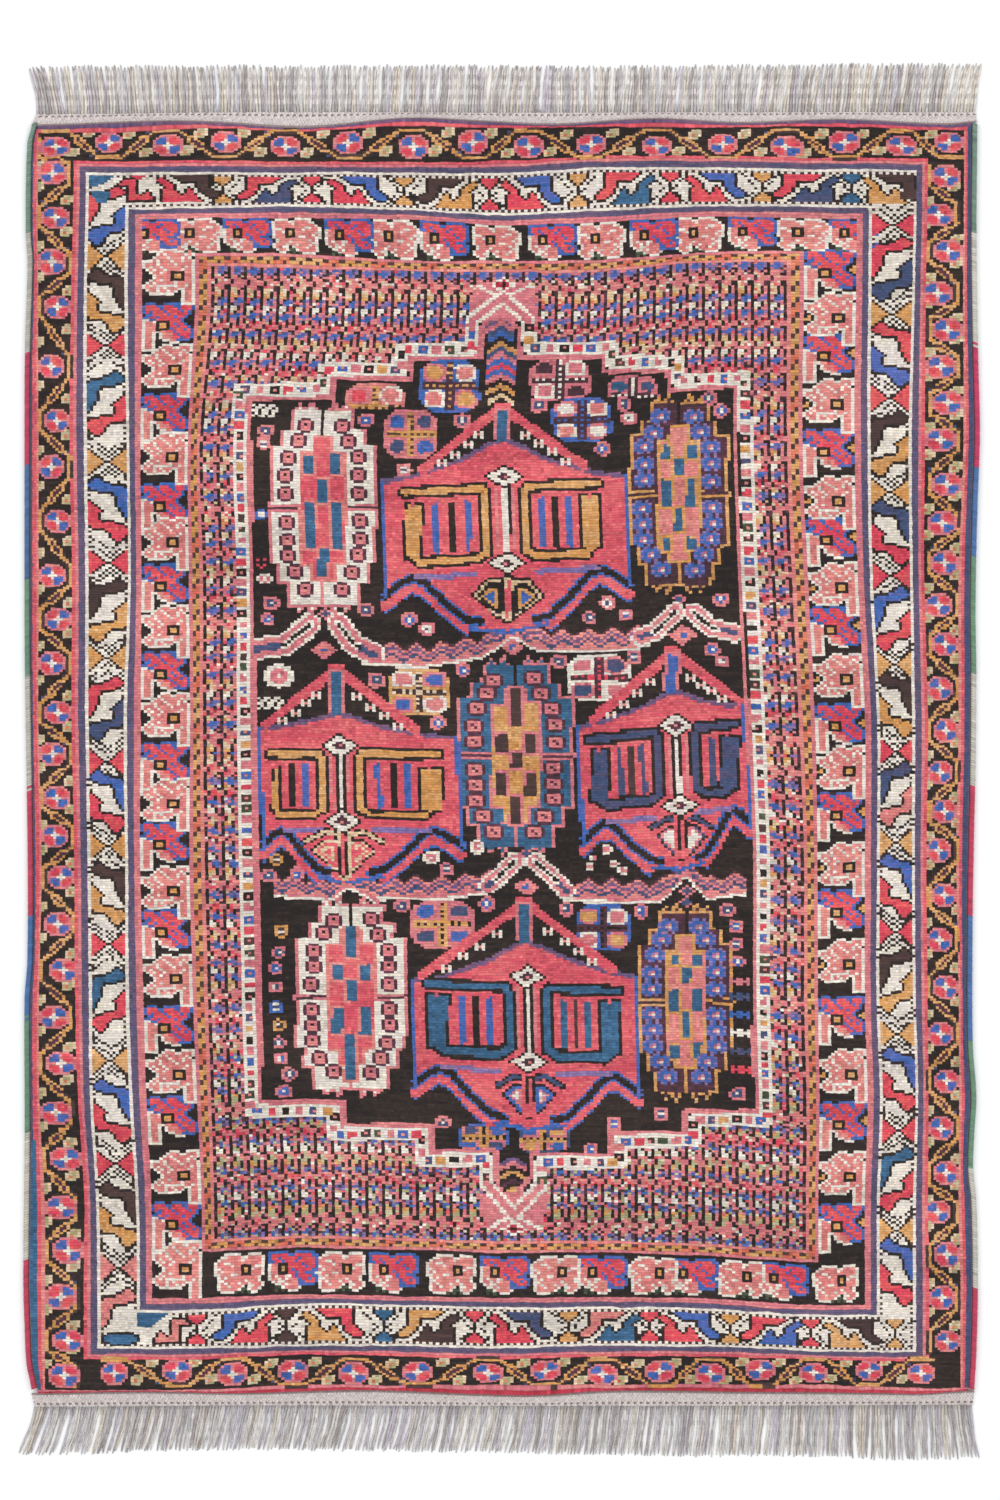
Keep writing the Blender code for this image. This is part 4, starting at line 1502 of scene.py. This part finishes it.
def make_strands(name, roots, tips, outward, dressing, seed, tone):
    """The loose warp ends, two plies to each, lying on the floor."""
    chance = random.Random(seed)
    root_line, reach_line, lean_line = smooth_line(roots), smooth_line(tips, 1), smooth_line(tips, 2)
    first = roots[0][0]
    pitch = (roots[-1][0] - first) / STRANDS
    points, faces, colours = [], [], []
    drift = 0.0
    for k in range(STRANDS):
        x0 = first + (k + 0.5) * pitch
        drift = 0.75 * drift + chance.gauss(0, 0.55)
        reach = float(read(reach_line, x0)) + chance.uniform(-2.2, 1.0)
        lean = float(read(lean_line, x0)) + 1.2 * drift + chance.gauss(0, 0.5)
        bend = chance.gauss(0, 0.9)
        kink = chance.uniform(0, 6.28)
        thick = pitch * chance.uniform(0.36, 0.50) * M_PER_PX
        shade = linear(chance.choice(STRAND_COLOURS)) * np.array(tone)
        raised = 0.0004 + 0.0009 * (k % 2)
        rings, tints = [], []
        for i in range(STRAND_STEPS + 1):
            share, odd = i / STRAND_STEPS, i % 2
            x = x0 + lean * share**1.3 + bend * math.sin(3.1 * share) + 0.35 * math.sin(kink + 9 * share)
            y = float(read(root_line, x0)) + outward * (reach * share - 0.6)
            wide = thick * (1.0 - 0.30 * share**3) * (0.90 if odd else 1.06)
            if i == STRAND_STEPS:
                wide *= 0.45
            high = min(wide, 0.0013)
            wave = 0.6 + 0.4 * math.sin(kink + 5 * share)
            lift = FLOOR_GAP + high + raised * (1 - share) * wave
            x_m, y_m = metres(x, y)
            turns = [2 * math.pi * (corner + 0.5 * odd) / 5 for corner in range(5)]
            ring = [(x_m + wide * math.cos(turn), y_m, lift + high * math.sin(turn)) for turn in turns]
            rings.append(ring[::outward])
            # Painted light on the strand: the narrow rings of the twist painted darker and the wide ones
            # lighter, and the first ring, which lies under the strip's edge, painted darker as shade.
            tints.append(shade * (1 + chance.gauss(0, 0.07)) * (0.90 if odd else 1.04) * (1 - 0.22 * (i < 1)))
        tube(points, faces, colours, rings, tints)
    return piece(name, points, faces, np.array(colours), dressing)


def make_floor():
    """A pale sheet under the rug, a little uneven in shade."""
    mesh = bpy.data.meshes.new("floor")
    mesh.from_pydata([(-9, -9, 0), (9, -9, 0), (9, 9, 0), (-9, 9, 0)], [], [(0, 1, 2, 3)])
    made = bpy.data.materials.new("floor")
    made.use_nodes = True
    nodes, link = made.node_tree.nodes, made.node_tree.links.new
    shader = nodes["Principled BSDF"]
    shader.inputs["Roughness"].default_value = 0.85
    noise = add_node(nodes, "ShaderNodeTexNoise", {"Scale": 1.5})
    shades = add_node(nodes, "ShaderNodeMapRange", {"To Min": 0.88, "To Max": 0.92})
    link(noise.outputs["Fac"], shades.inputs["Value"])
    link(shades.outputs["Result"], shader.inputs["Base Color"])
    mesh.materials.append(made)
    thing = bpy.data.objects.new("floor", mesh)
    bpy.context.scene.collection.objects.link(thing)


def make_lights():
    """Three soft lamps aimed at the rug's middle, and an even light from all sides."""
    for name, place, power in LAMPS:
        lamp = bpy.data.lights.new(name, "AREA")
        lamp.size = LAMP_SIZE
        lamp.energy = power
        thing = bpy.data.objects.new(name, lamp)
        thing.location = place
        x, y, z = place
        thing.rotation_euler = (math.acos(z / math.hypot(x, y, z)), 0.0, math.atan2(-y, -x) - math.pi / 2)
        bpy.context.scene.collection.objects.link(thing)
    world = bpy.data.worlds.new("studio")
    world.use_nodes = True
    background = world.node_tree.nodes["Background"]
    background.inputs["Color"].default_value = WORLD_COLOUR
    background.inputs["Strength"].default_value = WORLD_STRENGTH
    bpy.context.scene.world = world
    bpy.context.scene.view_settings.view_transform = "Standard"


def make_camera():
    """Straight above the rug, with the photograph's frame of 1000 by 1500 pixels round it."""
    data = bpy.data.cameras.new("camera")
    data.lens = 85.0
    data.sensor_width = 36.0
    data.clip_end = 50.0
    thing = bpy.data.objects.new("camera", data)
    thing.location = (*metres(500.0, 750.0), CAMERA_HIGH)
    bpy.context.scene.collection.objects.link(thing)
    bpy.context.scene.camera = thing


def main():
    make_camera()
    make_lights()
    make_floor()
    weave = Weave()
    for draw in (draw_bands, draw_outer_border, draw_main_border, draw_inner_border, draw_spandrels,
                 draw_field, draw_stripe):
        draw(weave)
    wool = material("pile wool", 0.92, 0.25, 900.0, 0.5)
    under = material("back wool", 0.95, 0.1, 500.0, 0.6, streak=(1.0, 2.5, 1.0))
    ground = material("foundation yarn", 0.95, 0.0, 700.0, 0.5, colour=(0.50, 0.40, 0.38))
    yarn = material("bound wool", 0.9, 0.25, 1100.0, 0.5)
    cotton = material("fringe cotton", 0.88, 0.15, 900.0, 0.5, streak=(1.0, 0.35, 1.0))
    tiles, corner, colours = make_pile(weave, wool)
    backs = make_back(*corner, colours, under)
    slab = make_slab(*corner, ground)
    left = make_bound_side("bound_left", LEFT_EDGE, LEFT_YARN, -1, yarn, 21)
    right = make_bound_side("bound_right", RIGHT_EDGE, RIGHT_YARN, 1, yarn, 22)
    strips = [
        make_strip("strip_top", TOP_EDGE, TOP_ROOTS, (31, 977), -1, cotton, 31, (1.05, 1.08, 1.13)),
        make_strip("strip_bottom", BOTTOM_EDGE, BOTTOM_ROOTS, (31, 975), 1, cotton, 32, (0.94, 0.97, 1.0)),
    ]
    strands = [
        make_strands("strands_top", TOP_ROOTS, TOP_TIPS, -1, cotton, 41, (1.02, 1.02, 1.05)),
        make_strands("strands_bottom", BOTTOM_ROOTS, BOTTOM_TIPS, 1, cotton, 42, (0.88, 0.89, 0.93)),
    ]
    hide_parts("rug_body")
    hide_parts("bound_edge_left")
    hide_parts("bound_edge_right")
    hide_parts("fringe_top")
    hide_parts("fringe_bottom")


main()
